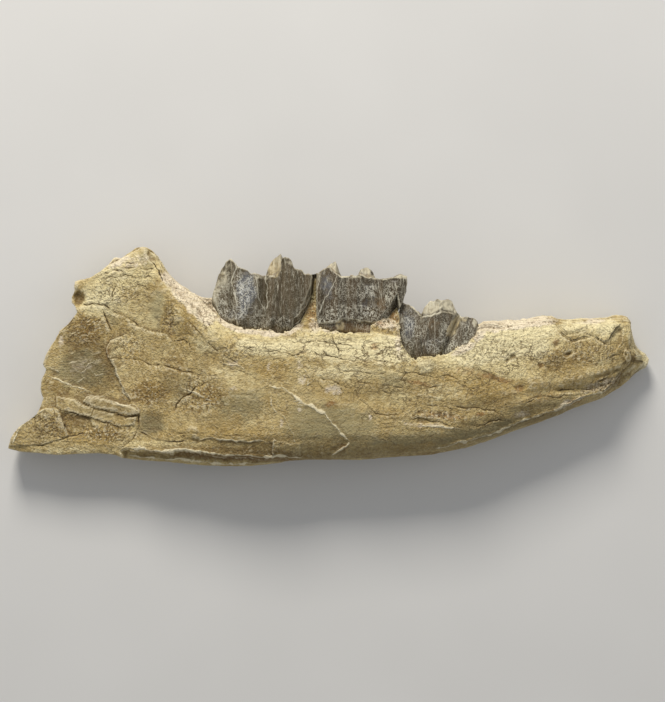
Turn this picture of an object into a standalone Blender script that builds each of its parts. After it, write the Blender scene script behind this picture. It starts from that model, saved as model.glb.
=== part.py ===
# Fossil hyracodon lower jaw: a length of jaw bone with three cheek teeth still in their sockets.
# It lies on its inner side with the outer side up. +X points to the front of the mouth, +Y to the
# chewing side and +Z up from the surface that it lies on. The origin is under the middle of the jaw.
# Sizes are in millimetres, and points of an outline are (x, y) as seen from above.

from math import exp, hypot

import bmesh
import bpy
import numpy as np
from mathutils import Vector, noise

MM = 0.001

# Clearance between a tooth and its socket
SOCKET_GAP = 0.3

# Cells along the jaw, across its height and through its thickness
BONE_CELLS = (84, 17, 3)
MOLAR_CELLS = (14, 7, 5)

# Rows of the bone as shares of its height: closer together at the edges and along the split plank
BONE_ROWS = [0, 0.015, 0.045, 0.085, 0.13, 0.185, 0.235, 0.27, 0.31, 0.34, 0.4, 0.5, 0.6, 0.7,
             0.8, 0.89, 0.96, 1]

# Outline of the bone. The back and front edges are old breaks, and the high edge dips under each tooth.
BONE_EDGES = {
    "low": [(-100, -28.5), (-90, -30), (-72, -30.3), (-64, -31.8), (-52, -32.8), (-34, -34),
            (-24, -34), (-10, -32.6), (10, -32), (31, -30.6), (43.5, -28), (59, -22.5),
            (73.5, -17), (87.5, -11.5), (95, -6), (100, -1.5)],
    "high": [(-79, 23), (-72.5, 25.5), (-67, 30.5), (-62.5, 32), (-58, 34), (-54, 31.5), (-51, 26.5),
             (-48, 23), (-41.5, 19), (-36.8, 18), (-33.5, 12.5), (-26.5, 8.7), (-18, 7.8), (-9, 10),
             (-4.6, 17.5), (-1.5, 10), (5, 7.5), (12.5, 7.5), (17, 11.5), (20.6, 15), (22.4, 1.5),
             (26.5, -1), (34.5, -0.5), (43, 4), (47, 10), (54, 11), (62, 12), (68, 12.7),
             (76, 11.5), (86, 12), (93, 12)],
    "back": [(-100, -28.5), (-98.5, -23.5), (-94, -20), (-90, -15.5), (-89.5, -7.5), (-86.5, 3),
             (-81, 10.5), (-78.5, 14), (-80, 17), (-79, 23)],
    "front": [(100, -1.5), (96.5, 2.5), (94.5, 8.5), (93, 12)],
}

# High line of the sections: the high edge without the dips under the teeth and the peaks between them,
# which fade away below it by this power of the share of the height
SECTION_HIGH_LINE = [(-79, 23), (-58, 34), (-54, 31.5), (-48, 23), (-41.5, 19), (-36, 14), (-29, 9.5),
                     (10, 8.5), (22, 6), (33, 1.5), (46, 8.5), (62, 12), (93, 12)]
HIGH_EDGE_FADE = 5

# Sections of the bone along x: height of its middle, outer face and inner face, half the thickness
# of its low and high edges, and how square the section is.
BONE_SECTIONS = {
    "x": [-100, -85, -62, -45, -28, 0, 30, 60, 84, 100],
    "middle": [8.0, 8.5, 10.0, 11.0, 11.5, 11.5, 11.0, 10.0, 8.5, 6.5],
    "outer": [11.5, 12.5, 14.5, 18.5, 22.0, 22.8, 22.0, 19.5, 16.0, 11.0],
    "inner": [4.5, 4.8, 5.5, 3.8, 1.8, 0.8, 0.8, 1.4, 1.0, 1.5],
    "low edge": [2.2, 2.6, 2.8, 3.0, 3.2, 3.4, 3.4, 3.2, 3.0, 2.8],
    "high edge": [1.8, 2.0, 2.4, 3.6, 7.0, 8.0, 8.0, 6.6, 5.0, 3.5],
    "squareness": [5.0, 5.0, 4.0, 3.0, 2.4, 2.2, 2.2, 2.2, 2.2, 2.2],
}
SECTION_BLEND = 7.0

# The high edge is rounded over in front of the teeth: by how much, and where that starts and is full
HIGH_EDGE_ROUND = 1.6
HIGH_EDGE_ROUND_REACH = (46, 54)

# Bone between the teeth thins upwards: from this height, by this share of the rise on each face
SEPTUM_START = 9.0
SEPTUM_TAPER = 0.42
SEPTUM_ENDS = (-34, 24)

# Ridge that runs down from the broken back plate onto the body: path, height and half width
RIDGE_PATH = [(-54, 31), (-51, 20.5), (-45, 14), (-36, 7), (-28, 3.5), (-10, 1.5), (28, -6.5)]
RIDGE_HEIGHTS = [1.0, 2.6, 2.4, 2.0, 1.5, 0.9, 0.3]
RIDGE_HALF_WIDTH = 5.0

# Shallow hollow on the outer face of the back plate: centre, half lengths and depth
HOLLOW_CENTRE = (-69, -3)
HOLLOW_HALF_LENGTHS = (20, 17)
HOLLOW_DEPTH = 2.0

# Plank of outer bone left on the back plate where the layers split: its edges, height and edge width
PLANK_HIGH_EDGE = [(-86, -12), (-77.7, -14.3), (-76, -12.2), (-70, -12.4), (-61, -16.2)]
PLANK_LOW_EDGE = [(-86, -15.8), (-75, -18.4), (-70, -20.5), (-61, -20.5)]
PLANK_HEIGHT = 0.9
PLANK_EDGE = 0.6

# Long step along the low edge: the bone below this line stands back
STEP_PATH = [(-62, -29.2), (-44, -29.8), (-28, -30.9), (-8, -31), (10, -29.5), (34, -28)]
STEP_DEPTH = 1.8
STEP_WIDTH = 1.0

# Bead on the inner face along the low edge of the back plate, which reaches down to the surface
BEAD_PATH = [(-94, -27), (-72, -27.5), (-52, -29)]
BEAD_HALF_WIDTH = 4.5
BEAD_HEIGHT = 6.2

# Spots of the inner face that swell until they touch the surface: centre, half lengths, height
RESTING_SPOTS = [
    ((2, 2), (13, 6), 2.6),
    ((4, -20), (15, 6), 2.4),
    ((80, -3), (9, 6), 2.4),
]

# Small knob with a pit at the top of the back edge
PIT_CENTRE = (-76.5, 18)
PIT_RADIUS = 2.4
PIT_DEPTH = 1.1

# The front break slants: the outer face ends this far short of the tip, within this reach
FRONT_SLANT = 6.0
FRONT_REACH = 18.0

# Lumps of weathered bone: size across, height
BROAD_LUMPS = (13.0, 0.7)
SMALL_LUMPS = (5.0, 0.35)
OUTER_LAYERS = (0.3, 5.7)
INNER_LAYERS = (9.1, 14.2)

# Half the width of a tooth from root tip to crest, by share of its height
MOLAR_HEIGHT_SHARES = [0.0, 0.28, 0.4, 0.62, 1.0]
MOLAR_HALF_WIDTHS = [3.2, 4.6, 6.2, 6.5, 5.2]
ROOT_SHARE = 0.36
ROOT_BLEND = 0.1

# Corners of a tooth seen from its crest: how much narrower its ends are, and how sharply they turn
MOLAR_END_TAPER = 0.35
MOLAR_END_POWER = 3

# Half lengths, as shares of a tooth's length, of its lobes, the groove between them, its inner
# valleys and its cusps; share of the width over which the chewing side falls from the outer crest
LOBE_HALF_LENGTH = 0.16
GROOVE_HALF_LENGTH = 0.07
VALLEY_HALF_LENGTH = 0.14
CUSP_HALF_LENGTH = 0.1
CUSP_HALF_WIDTH = 0.3
CREST_FALL = (0.35, 0.95)

# Each molar: its outline, the height of its middle, the places of its two lobes and of the groove
# between them as shares of its length, the depth of its inner valleys, and its inner cusps as
# (share of length, share of width from the inner side, height).
MOLARS = {
    "molar_m3": {
        "edges": {
            "low": [(-28, -1), (-20, -1.6), (-12, -1)],
            "high": [(-35, 24), (-33.5, 26.5), (-31, 30), (-26.2, 26.6), (-22.5, 25.6), (-19, 25.7),
                     (-16, 27), (-13.2, 29.9), (-11.2, 28.6), (-9, 26.2), (-4.6, 25.4)],
            "back": [(-28, -1), (-32.5, 10.5), (-36, 18.5), (-35, 24)],
            "front": [(-12, -1), (-9.5, 9), (-5, 17.5), (-4.6, 25.4)],
        },
        "middle": 12.8,
        "lobes": (0.24, 0.76),
        "groove": 0.5,
        "lobe height": 0.9,
        "valley": 7.0,
        "cusps": [(0.64, 0.3, 5.4), (0.06, 0.2, 0.6)],
    },
    "molar_m2": {
        "edges": {
            "low": [(3, -2), (8.5, -2.6), (14, -2)],
            "high": [(-4.1, 25.4), (-2.4, 26.8), (-0.6, 27.7), (1.6, 27.2), (4, 25.4), (8.8, 25.4),
                     (13.4, 24.8), (16, 24), (20, 25), (24, 25.1)],
            "back": [(3, -2), (-1.6, 8.5), (-3.9, 18), (-4.1, 25.4)],
            "front": [(14, -2), (15, 9), (22, 18), (24, 25.1)],
        },
        "middle": 12.8,
        "lobes": (0.26, 0.77),
        "groove": 0.56,
        "lobe height": 0.9,
        "valley": 6.0,
        "cusps": [(0.21, 0.6, 4.6), (0.54, 0.25, 3.4)],
    },
    "molar_m1": {
        "edges": {
            "low": [(28, -10), (33, -10.5), (38, -10)],
            "high": [(22.9, 16.3), (25.5, 15), (28.3, 13.2), (29.4, 16), (31.5, 17.5), (36.6, 17.5),
                     (38.8, 14.6), (41, 12), (43.5, 12), (45.4, 10.6)],
            "back": [(28, -10), (25.5, -1.2), (21.9, 2), (21.9, 10), (22.9, 16.3)],
            "front": [(38, -10), (39.5, 0), (43.6, 3.6), (45.4, 10.6)],
        },
        "middle": 12.2,
        "lobes": (0.34, 0.87),
        "groove": 0.7,
        "lobe height": 0.8,
        "valley": 4.0,
        "cusps": [],
    },
}

# Size of the block that trims the underside flat where the jaw rests
TRIM_SIZE = (240, 100, 10)

# Edges sharper than this angle, in radians, are shaded as edges
SHARP_ANGLE = 0.7

BONE_COLOUR = (0.50, 0.37, 0.18, 1)
ENAMEL_COLOURS = {
    "molar_m3": (0.085, 0.082, 0.074, 1),
    "molar_m2": (0.070, 0.062, 0.050, 1),
    "molar_m1": (0.080, 0.074, 0.066, 1),
}


# Small curves

def smooth_step(start, end, value):
    share = min(max((value - start) / (end - start), 0.0), 1.0)
    return share * share * (3.0 - 2.0 * share)


def hump(distance, half_width):
    return exp(-(distance / half_width) ** 2)


def read_section(key, x):
    # Value of a section column at x, averaged over a short stretch so that no crease shows
    offsets = [SECTION_BLEND * k for k in (-1.0, -0.5, 0.0, 0.5, 1.0)]
    columns = BONE_SECTIONS
    values = [np.interp(x + offset, columns["x"], columns[key]) for offset in offsets]
    return sum(values) / len(values)


def nearest_on_path(path, x, y):
    # Distance to a path of straight runs, and the place along it counted in points
    best_distance, best_place = None, 0.0
    for index in range(len(path) - 1):
        start, end = Vector(path[index]), Vector(path[index + 1])
        run = end - start
        share = min(max((Vector((x, y)) - start).dot(run) / run.length_squared, 0.0), 1.0)
        foot = start + run * share
        distance = hypot(x - foot.x, y - foot.y)
        if best_distance is None or distance < best_distance:
            best_distance, best_place = distance, index + share
    return best_distance, best_place


# Outlines

def share_of_section(x, y):
    # Share of the section's height that a point is at, 1 on the high line and above it
    low = np.interp(x, *zip(*BONE_EDGES["low"]))
    high = np.interp(x, *zip(*SECTION_HIGH_LINE))
    return min(max((y - low) / (high - low), 0.0), 1.0)


def point_by_x(points, share):
    # Point of an edge that runs from back to front
    xs, ys = zip(*points)
    x = xs[0] + share * (xs[-1] - xs[0])
    return Vector((x, np.interp(x, xs, ys)))


def point_by_y(points, share):
    # Point of an edge that runs from low to high
    xs, ys = zip(*points)
    y = ys[0] + share * (ys[-1] - ys[0])
    return Vector((np.interp(y, ys, xs), y))


def point_in_outline(edges, u, v):
    # Point at share u of the length and v of the height of a patch between its four edges
    low, high = point_by_x(edges["low"], u), point_by_x(edges["high"], u)
    back, front = point_by_y(edges["back"], v), point_by_y(edges["front"], v)
    low_back, low_front = Vector(edges["low"][0]), Vector(edges["low"][-1])
    high_back, high_front = Vector(edges["high"][0]), Vector(edges["high"][-1])
    corners = (low_back * (1 - u) + low_front * u) * (1 - v)
    corners += (high_back * (1 - u) + high_front * u) * v
    return low * (1 - v) + high * v + back * (1 - u) + front * u - corners


def steps_on_corners(count, points):
    # Even steps from 0 to 1 along an edge, with the step nearest each corner moved onto it
    steps = [index / count for index in range(count + 1)]
    first, last = points[0][0], points[-1][0]
    for x, _ in points:
        share = (x - first) / (last - first)
        steps[round(share * count)] = share
    return steps


# Relief of the bone

def lumps(x, y, layers):
    heights = [height * noise.noise(Vector((x / size, y / size, layer)))
               for layer, (size, height) in zip(layers, (BROAD_LUMPS, SMALL_LUMPS))]
    return sum(heights)


def outer_relief(x, y):
    distance, place = nearest_on_path(RIDGE_PATH, x, y)
    relief = np.interp(place, range(len(RIDGE_HEIGHTS)), RIDGE_HEIGHTS) * hump(distance, RIDGE_HALF_WIDTH)

    across = (x - HOLLOW_CENTRE[0]) / HOLLOW_HALF_LENGTHS[0]
    up = (y - HOLLOW_CENTRE[1]) / HOLLOW_HALF_LENGTHS[1]
    relief -= HOLLOW_DEPTH * hump(hypot(across, up), 1.0)

    if PLANK_HIGH_EDGE[0][0] < x < PLANK_HIGH_EDGE[-1][0]:
        below = smooth_step(-PLANK_EDGE, PLANK_EDGE, np.interp(x, *zip(*PLANK_HIGH_EDGE)) - y)
        above = smooth_step(-PLANK_EDGE, PLANK_EDGE, y - np.interp(x, *zip(*PLANK_LOW_EDGE)))
        relief += PLANK_HEIGHT * below * above

    if STEP_PATH[0][0] < x < STEP_PATH[-1][0]:
        line = np.interp(x, *zip(*STEP_PATH))
        relief -= STEP_DEPTH * smooth_step(0, STEP_WIDTH, line - y)

    relief -= PIT_DEPTH * hump(hypot(x - PIT_CENTRE[0], y - PIT_CENTRE[1]), PIT_RADIUS)
    return relief + lumps(x, y, OUTER_LAYERS)


def inner_relief(x, y):
    distance, _ = nearest_on_path(BEAD_PATH, x, y)
    relief = -BEAD_HEIGHT * hump(distance, BEAD_HALF_WIDTH)
    for centre, half_lengths, height in RESTING_SPOTS:
        across, up = (x - centre[0]) / half_lengths[0], (y - centre[1]) / half_lengths[1]
        relief -= height * hump(hypot(across, up), 1.0)
    return relief + lumps(x, y, INNER_LAYERS)


# Placing functions: shares of length, height and thickness to a point in millimetres

def bone_placer():
    columns, rows, _ = BONE_CELLS
    steps = steps_on_corners(columns, BONE_EDGES["high"])
    plain_edges = dict(BONE_EDGES, high=SECTION_HIGH_LINE)

    def place(u, v, w):
        u, v = steps[round(u * columns)], BONE_ROWS[round(v * rows)]
        point = point_in_outline(plain_edges, u, v)
        detail = point_by_x(BONE_EDGES["high"], u).y - point_by_x(SECTION_HIGH_LINE, u).y
        x, y = point.x, point.y + detail * v ** HIGH_EDGE_FADE

        share = share_of_section(x, y)
        squareness = read_section("squareness", x)
        swell = (1 - abs(2 * share - 1) ** squareness) ** (1 / squareness)
        edge = (1 - share) * read_section("low edge", x) + share * read_section("high edge", x)
        if SEPTUM_ENDS[0] < x < SEPTUM_ENDS[1]:
            edge -= SEPTUM_TAPER * max(y - SEPTUM_START, 0)
        middle = read_section("middle", x)
        outer = middle + edge + (read_section("outer", x) - middle - edge) * swell + outer_relief(x, y)
        inner = middle - edge + (read_section("inner", x) - middle + edge) * swell + inner_relief(x, y)
        z = inner + w * (outer - inner)

        slant = FRONT_SLANT * w * w * (1 - v) * smooth_step(100 - FRONT_REACH, 100, x)
        fall = HIGH_EDGE_ROUND * (2 * w - 1) ** 2 * v ** 4 * smooth_step(*HIGH_EDGE_ROUND_REACH, x)
        return Vector((x - slant, y - fall, z))

    return place


def molar_placer(molar):
    rear, fore = molar["lobes"]

    def drop_to_valley(u, w):
        # How far the chewing side falls from the outer crest towards the inner valleys
        valleys = max(hump(u - rear, VALLEY_HALF_LENGTH), hump(u - fore, VALLEY_HALF_LENGTH))
        drop = molar["valley"] * valleys * (1 - smooth_step(*CREST_FALL, w))
        for cusp_u, cusp_w, height in molar["cusps"]:
            drop -= height * hump(u - cusp_u, CUSP_HALF_LENGTH) * hump(w - cusp_w, CUSP_HALF_WIDTH)
        return drop

    def place(u, v, w):
        point = point_in_outline(molar["edges"], u, v)
        x, y = point.x, point.y - v ** 3 * drop_to_valley(u, w)

        side = 2 * w - 1
        half_width = np.interp(v, MOLAR_HEIGHT_SHARES, MOLAR_HALF_WIDTHS)
        half_width *= 1 - MOLAR_END_TAPER * abs(2 * u - 1) ** MOLAR_END_POWER
        crown = smooth_step(ROOT_SHARE - ROOT_BLEND, ROOT_SHARE + ROOT_BLEND, v)
        lobes = max(hump(u - rear, LOBE_HALF_LENGTH), hump(u - fore, LOBE_HALF_LENGTH))
        lobes -= 2 * hump(u - molar["groove"], GROOVE_HALF_LENGTH)
        outer_share = max(side, 0.0)
        z = molar["middle"] + side * half_width + outer_share * crown * molar["lobe height"] * lobes
        return Vector((x, y, z))

    return place


# Objects

def make_material(name, colour, roughness):
    material = bpy.data.materials.new(name)
    material.use_nodes = True
    surface = material.node_tree.nodes["Principled BSDF"]
    surface.inputs["Base Color"].default_value = colour
    surface.inputs["Roughness"].default_value = roughness
    surface.inputs["Metallic"].default_value = 0.0
    material.diffuse_color = colour
    return material


def make_block(name, cells, place, collection, swell=0.0):
    # A cube cut into cells and placed point by point, then grown outwards by swell millimetres
    shape = bmesh.new()
    bmesh.ops.create_cube(shape, size=1)
    for axis, count in enumerate(cells):
        along = [edge for edge in shape.edges
                 if abs(edge.verts[0].co[axis] - edge.verts[1].co[axis]) > 0.5]
        bmesh.ops.subdivide_edges(shape, edges=along, cuts=count - 1, use_grid_fill=True)
    for vert in shape.verts:
        vert.co = place(*(share + 0.5 for share in vert.co)) * MM
    shape.normal_update()
    if swell:
        moves = [vert.normal * vert.calc_shell_factor() * swell * MM for vert in shape.verts]
        for vert, move in zip(shape.verts, moves):
            vert.co += move
    mesh = bpy.data.meshes.new(name)
    shape.to_mesh(mesh)
    shape.free()
    mesh.shade_smooth()
    mesh.set_sharp_from_angle(angle=SHARP_ANGLE)
    block = bpy.data.objects.new(name, mesh)
    collection.objects.link(block)
    return block


def cut(block, cutter):
    cutter.hide_render = True
    cutter.display_type = "WIRE"
    trim = block.modifiers.new(cutter.name, "BOOLEAN")
    trim.operation = "DIFFERENCE"
    trim.solver = "EXACT"
    trim.object = cutter


def make_trim_block(cutters):
    shape = bmesh.new()
    bmesh.ops.create_cube(shape, size=1)
    bmesh.ops.scale(shape, vec=Vector(TRIM_SIZE) * MM, verts=shape.verts)
    mesh = bpy.data.meshes.new("resting_trim")
    shape.to_mesh(mesh)
    shape.free()
    block = bpy.data.objects.new("resting_trim", mesh)
    block.location = (0, 0, -TRIM_SIZE[2] / 2 * MM)
    cutters.objects.link(block)
    return block


def make_jaw():
    for thing in list(bpy.data.objects):
        bpy.data.objects.remove(thing, do_unlink=True)

    jaw = bpy.data.collections.new("fossil hyracodon jaw")
    cutters = bpy.data.collections.new("cutters")
    for collection in (jaw, cutters):
        bpy.context.scene.collection.children.link(collection)

    root = bpy.data.objects.new("jaw", None)
    jaw.objects.link(root)

    bone = make_block("jaw_bone", BONE_CELLS, bone_placer(), jaw)
    bone.data.materials.append(make_material("mineralised bone", BONE_COLOUR, 0.62))
    bone.parent = root

    for name, molar in MOLARS.items():
        place = molar_placer(molar)
        tooth = make_block(name, MOLAR_CELLS, place, jaw)
        tooth.data.materials.append(make_material(f"{name} enamel", ENAMEL_COLOURS[name], 0.3))
        tooth.parent = root
        socket = make_block(f"{name}_socket", MOLAR_CELLS, place, cutters, swell=SOCKET_GAP)
        cut(bone, socket)

    cut(bone, make_trim_block(cutters))


make_jaw()
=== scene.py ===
# Fossil lower jaw with three cheek teeth, lying on its inner side on a pale floor.
# Lists of points and sizes are in millimetres as seen from above; finished meshes are in metres.

import math
from itertools import product

import bmesh
import bpy
import numpy as np
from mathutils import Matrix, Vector


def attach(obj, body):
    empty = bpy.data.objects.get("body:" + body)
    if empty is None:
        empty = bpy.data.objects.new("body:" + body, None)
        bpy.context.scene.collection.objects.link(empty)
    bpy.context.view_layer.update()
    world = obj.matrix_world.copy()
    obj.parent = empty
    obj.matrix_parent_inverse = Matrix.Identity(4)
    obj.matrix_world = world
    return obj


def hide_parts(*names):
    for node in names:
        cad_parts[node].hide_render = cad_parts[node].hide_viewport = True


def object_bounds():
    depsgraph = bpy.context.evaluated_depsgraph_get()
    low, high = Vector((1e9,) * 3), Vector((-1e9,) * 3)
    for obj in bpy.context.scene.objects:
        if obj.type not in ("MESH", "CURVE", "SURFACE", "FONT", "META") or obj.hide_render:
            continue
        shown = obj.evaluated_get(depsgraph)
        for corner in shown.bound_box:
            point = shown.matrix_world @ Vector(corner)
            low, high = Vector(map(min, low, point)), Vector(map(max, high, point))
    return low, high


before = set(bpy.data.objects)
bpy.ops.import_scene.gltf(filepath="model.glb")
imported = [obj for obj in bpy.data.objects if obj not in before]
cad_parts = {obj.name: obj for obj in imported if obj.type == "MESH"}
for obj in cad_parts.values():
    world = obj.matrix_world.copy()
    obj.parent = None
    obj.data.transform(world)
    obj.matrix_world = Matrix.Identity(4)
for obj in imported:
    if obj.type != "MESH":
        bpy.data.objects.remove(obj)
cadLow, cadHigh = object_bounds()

mm = 0.001
boxInset = 0.02  # the finished pieces stay this far inside the box of the solids
patchEdge = (1.45, 0.35)  # where an oval patch ends and where it is full, in its half lengths
farAway = 99.0
noiseTable = 65536
noisePrimes = (73856093, 19349663, 83492791)

# Layers of soft noise: amount, size, seed
noiseLayers = {
    "wobbleX": [(0.5, 5, 11), (0.34, 1.8, 12), (0.16, 0.7, 15)],
    "wobbleY": [(0.5, 5, 13), (0.34, 1.8, 14), (0.16, 0.7, 16)],
    "lineGaps": [(1, 2.4, 17), (0.5, 0.9, 18)],
    "highLine": [(0.42, 1.5, 19), (0.22, 0.6, 20)],
    "outerFace": [(0.55, 13, 21), (0.3, 6, 22)],
    "innerFace": [(0.5, 13, 31), (0.3, 5, 32)],
}


# Small curves and noise

def smoothStep(low, high, value):
    share = np.clip((value - low) / (high - low), 0, 1)
    return share * share * (3 - 2 * share)


def hump(distance, halfWidth):
    return np.exp(-(distance / halfWidth) ** 2)


def softNoise(points, size, seed):
    # Smooth noise from -1 to 1, with lumps of this size, at an array of points
    table = np.random.RandomState(seed).uniform(-1, 1, noiseTable)
    cell = np.asarray(points, float) / size
    corner = np.floor(cell).astype(np.int64)
    share = cell - corner
    share = share * share * (3 - 2 * share)
    total = np.zeros(len(cell))
    for step in product((0, 1), repeat=3):
        key = (corner + np.array(step)) * np.array(noisePrimes)
        key = (key[:, 0] ^ key[:, 1] ^ key[:, 2]) & (noiseTable - 1)
        total += table[key] * np.prod(np.where(step, share, 1 - share), axis=1)
    return total


def roughNoise(points, size, seed, layers=3):
    total, reach = 0, 0
    for layer in range(layers):
        total = total + softNoise(points, size / 2 ** layer, seed + layer) / 2 ** layer
        reach += 1 / 2 ** layer
    return total / reach


def layeredNoise(points, name, start=0):
    return sum((amount * softNoise(points, size, seed) for amount, size, seed in noiseLayers[name]), start)


def stretched(points, along, across, deep):
    return points / np.array((along, across, deep))


def pointsFrom(x, y, z):
    return np.stack(np.broadcast_arrays(x, y, z), -1)


def insideBox(points):
    low, high = np.array(cadLow) / mm + boxInset, np.array(cadHigh) / mm - boxInset
    return np.clip(points, (low[0], low[1], 0), high)


# Distances in the plan

def distanceToPath(path, x, y, reach=4.0):
    # Signed distance to a path, positive on its left, far away beyond the reach, and the place along it
    points = np.array(path, float)
    near = (x > points[:, 0].min() - reach) & (x < points[:, 0].max() + reach)
    near &= (y > points[:, 1].min() - reach) & (y < points[:, 1].max() + reach)
    px, py = x[near], y[near]
    best = np.full(px.shape, farAway)
    side = np.ones(px.shape)
    place = np.zeros(px.shape)
    for index, (start, end) in enumerate(zip(points[:-1], points[1:])):
        run = end - start
        share = ((px - start[0]) * run[0] + (py - start[1]) * run[1]) / (run @ run)
        share = np.clip(share, 0, 1)
        away = np.hypot(px - start[0] - share * run[0], py - start[1] - share * run[1])
        closer = away < best
        turn = run[0] * (py - start[1]) - run[1] * (px - start[0])
        best[closer] = away[closer]
        side[closer] = np.where(turn[closer] < 0, -1, 1)
        place[closer] = (index + share)[closer]
    distance = np.full(x.shape, farAway)
    places = np.zeros(x.shape)
    distance[near] = best * side
    places[near] = place / (len(points) - 1)
    return distance, places


def distanceInside(outline, x, y):
    # Distance to the edge of a closed outline, positive inside it
    away, _ = distanceToPath(list(outline) + [outline[0]], x, y)
    inside = np.zeros(x.shape, bool)
    for (ax, ay), (bx, by) in zip(outline, outline[1:] + outline[:1]):
        if ay != by:
            crosses = ((ay > y) != (by > y)) & (x < (bx - ax) * (y - ay) / (by - ay) + ax)
            inside ^= crosses
    return np.where(inside, 1, -1) * np.abs(away)


def placeInOval(oval, x, y):
    # How far along and across a turned oval a place is, in its half lengths
    middleX, middleY, halfLength, halfHeight, turn = oval
    c, s = math.cos(math.radians(turn)), math.sin(math.radians(turn))
    along = ((x - middleX) * c + (y - middleY) * s) / halfLength
    across = ((y - middleY) * c - (x - middleX) * s) / halfHeight
    return along, across


def patchMask(patches, x, y):
    # How strongly a place is covered by a list of soft oval patches
    bare = np.ones(x.shape)
    for *oval, strength in patches:
        bare *= 1 - strength * smoothStep(*patchEdge, np.hypot(*placeInOval(oval, x, y)))
    return 1 - bare


def wobble(x, y):
    # Moves the places where lines and patches are read, so that no edge runs straight
    points = pointsFrom(x, y, 0)
    return x + layeredNoise(points, "wobbleX"), y + layeredNoise(points, "wobbleY")


def brokenUp(x, y):
    # Makes lines strong in some places and faint in others
    return 0.35 + 0.65 * smoothStep(-0.35, 0.35, layeredNoise(pointsFrom(x, y, 9), "lineGaps"))


def lineFields(lines, x, y, gaps=1.0):
    # Signed distance to the nearest line and how strong the line is there
    best = np.full(x.shape, 3.0)
    strength = np.zeros(x.shape)
    for width, *_, path in lines:
        distance, place = distanceToPath(path, x, y)
        closer = np.abs(distance) < np.abs(best)
        best[closer] = distance[closer]
        ends = smoothStep(0, 0.08, place) * smoothStep(1, 0.92, place)
        beyond = np.where((place <= 0) | (place >= 1), smoothStep(0.5, 0.1, np.abs(distance)), 1)
        value = (0.3 + 0.7 * ends) * beyond * width / 0.25
        strength[closer] = value[closer]
    strength *= 1 - gaps * (1 - brokenUp(x, y))
    return best, strength * smoothStep(1.6, 0.9, np.abs(best))


# Patches between four edges

def pointByX(points, share):
    xs, ys = np.array(points, float).T
    x = xs[0] + share * (xs[-1] - xs[0])
    return np.stack((x, np.interp(x, xs, ys)), -1)


def pointByY(points, share):
    xs, ys = np.array(points, float).T
    y = ys[0] + share * (ys[-1] - ys[0])
    return np.stack((np.interp(y, ys, xs), y), -1)


def pointInOutline(edges, u, v):
    low, high = pointByX(edges["low"], u), pointByX(edges["high"], u)
    back, front = pointByY(edges["back"], v), pointByY(edges["front"], v)
    u, v = u[:, None], v[:, None]
    corners = (np.array(edges["low"][0]) * (1 - u) + np.array(edges["low"][-1]) * u) * (1 - v)
    corners = corners + (np.array(edges["high"][0]) * (1 - u) + np.array(edges["high"][-1]) * u) * v
    return low * (1 - v) + high * v + back * (1 - u) + front * u - corners


# Meshes

def boxLattice(cells):
    # Points and outward faces of a box from 0 to 1 whose sides are cut into cells
    faces = []
    for axis in range(3):
        first, second = (axis + 1) % 3, (axis + 2) % 3
        a, b = np.meshgrid(np.arange(cells[first]), np.arange(cells[second]), indexing="ij")
        for side in (0, cells[axis]):
            corners = np.zeros(a.shape + (4, 3), int)
            corners[..., axis] = side
            turns = ((0, 0), (1, 0), (1, 1), (0, 1)) if side else ((0, 0), (0, 1), (1, 1), (1, 0))
            for corner, (da, db) in enumerate(turns):
                corners[..., corner, first] = a + da
                corners[..., corner, second] = b + db
            faces.append(corners.reshape(-1, 4, 3))
    corners = np.concatenate(faces).reshape(-1, 3)
    points, index = np.unique(corners, axis=0, return_inverse=True)
    return points / np.array(cells), index.reshape(-1, 4)


def readPoints(mesh, what="co", source="vertices"):
    items = getattr(mesh, source)
    values = np.empty(len(items) * 3)
    items.foreach_get(what, values)
    return values.reshape(-1, 3)


def faceCentres(mesh):
    return readPoints(mesh, "center", "polygons")


def vertexNormals(mesh):
    return readPoints(mesh, "vector", "vertex_normals")


def writePoints(mesh, points):
    mesh.vertices.foreach_set("co", np.asarray(points, float).ravel())
    mesh.update()


def refine(mesh, chosen):
    # Cuts every edge of the chosen faces in two
    shape = bmesh.new()
    shape.from_mesh(mesh)
    shape.faces.ensure_lookup_table()
    edges = {edge for index in np.flatnonzero(chosen) for edge in shape.faces[index].edges}
    edges = sorted(edges, key=lambda edge: edge.index)
    bmesh.ops.subdivide_edges(shape, edges=edges, cuts=1, use_grid_fill=True)
    shape.to_mesh(mesh)
    shape.free()


def storeValues(mesh, name, values):
    attribute = mesh.attributes.new(name, "FLOAT", "POINT")
    attribute.data.foreach_set("value", np.asarray(values, np.float32).ravel())


def storeColours(mesh, name, columns):
    attribute = mesh.attributes.new(name, "FLOAT_COLOR", "POINT")
    values = np.stack(columns, -1).astype(np.float32)
    attribute.data.foreach_set("color", values.ravel())


def storeBulge(mesh, points, fullHeight, rounds=2):
    # How far each point stands out from its neighbours, from -1 to 1 at the full height
    ends = np.empty(len(mesh.edges) * 2, np.int32)
    mesh.edges.foreach_get("vertices", ends)
    ends = ends.reshape(-1, 2)
    count = np.bincount(ends.ravel(), minlength=len(points))[:, None]
    smooth = points.copy()
    for _ in range(rounds):
        total = np.zeros_like(smooth)
        for axis in range(3):
            total[:, axis] += np.bincount(ends[:, 0], smooth[ends[:, 1], axis], len(points))
            total[:, axis] += np.bincount(ends[:, 1], smooth[ends[:, 0], axis], len(points))
        smooth = total / count
    stands = np.sum((points - smooth) * vertexNormals(mesh), axis=1)
    storeValues(mesh, "bulge", np.clip(stands / fullHeight, -1, 1))


def newObject(name, mesh):
    thing = bpy.data.objects.new(name, mesh)
    bpy.context.scene.collection.objects.link(thing)
    return thing


# The bone

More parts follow.
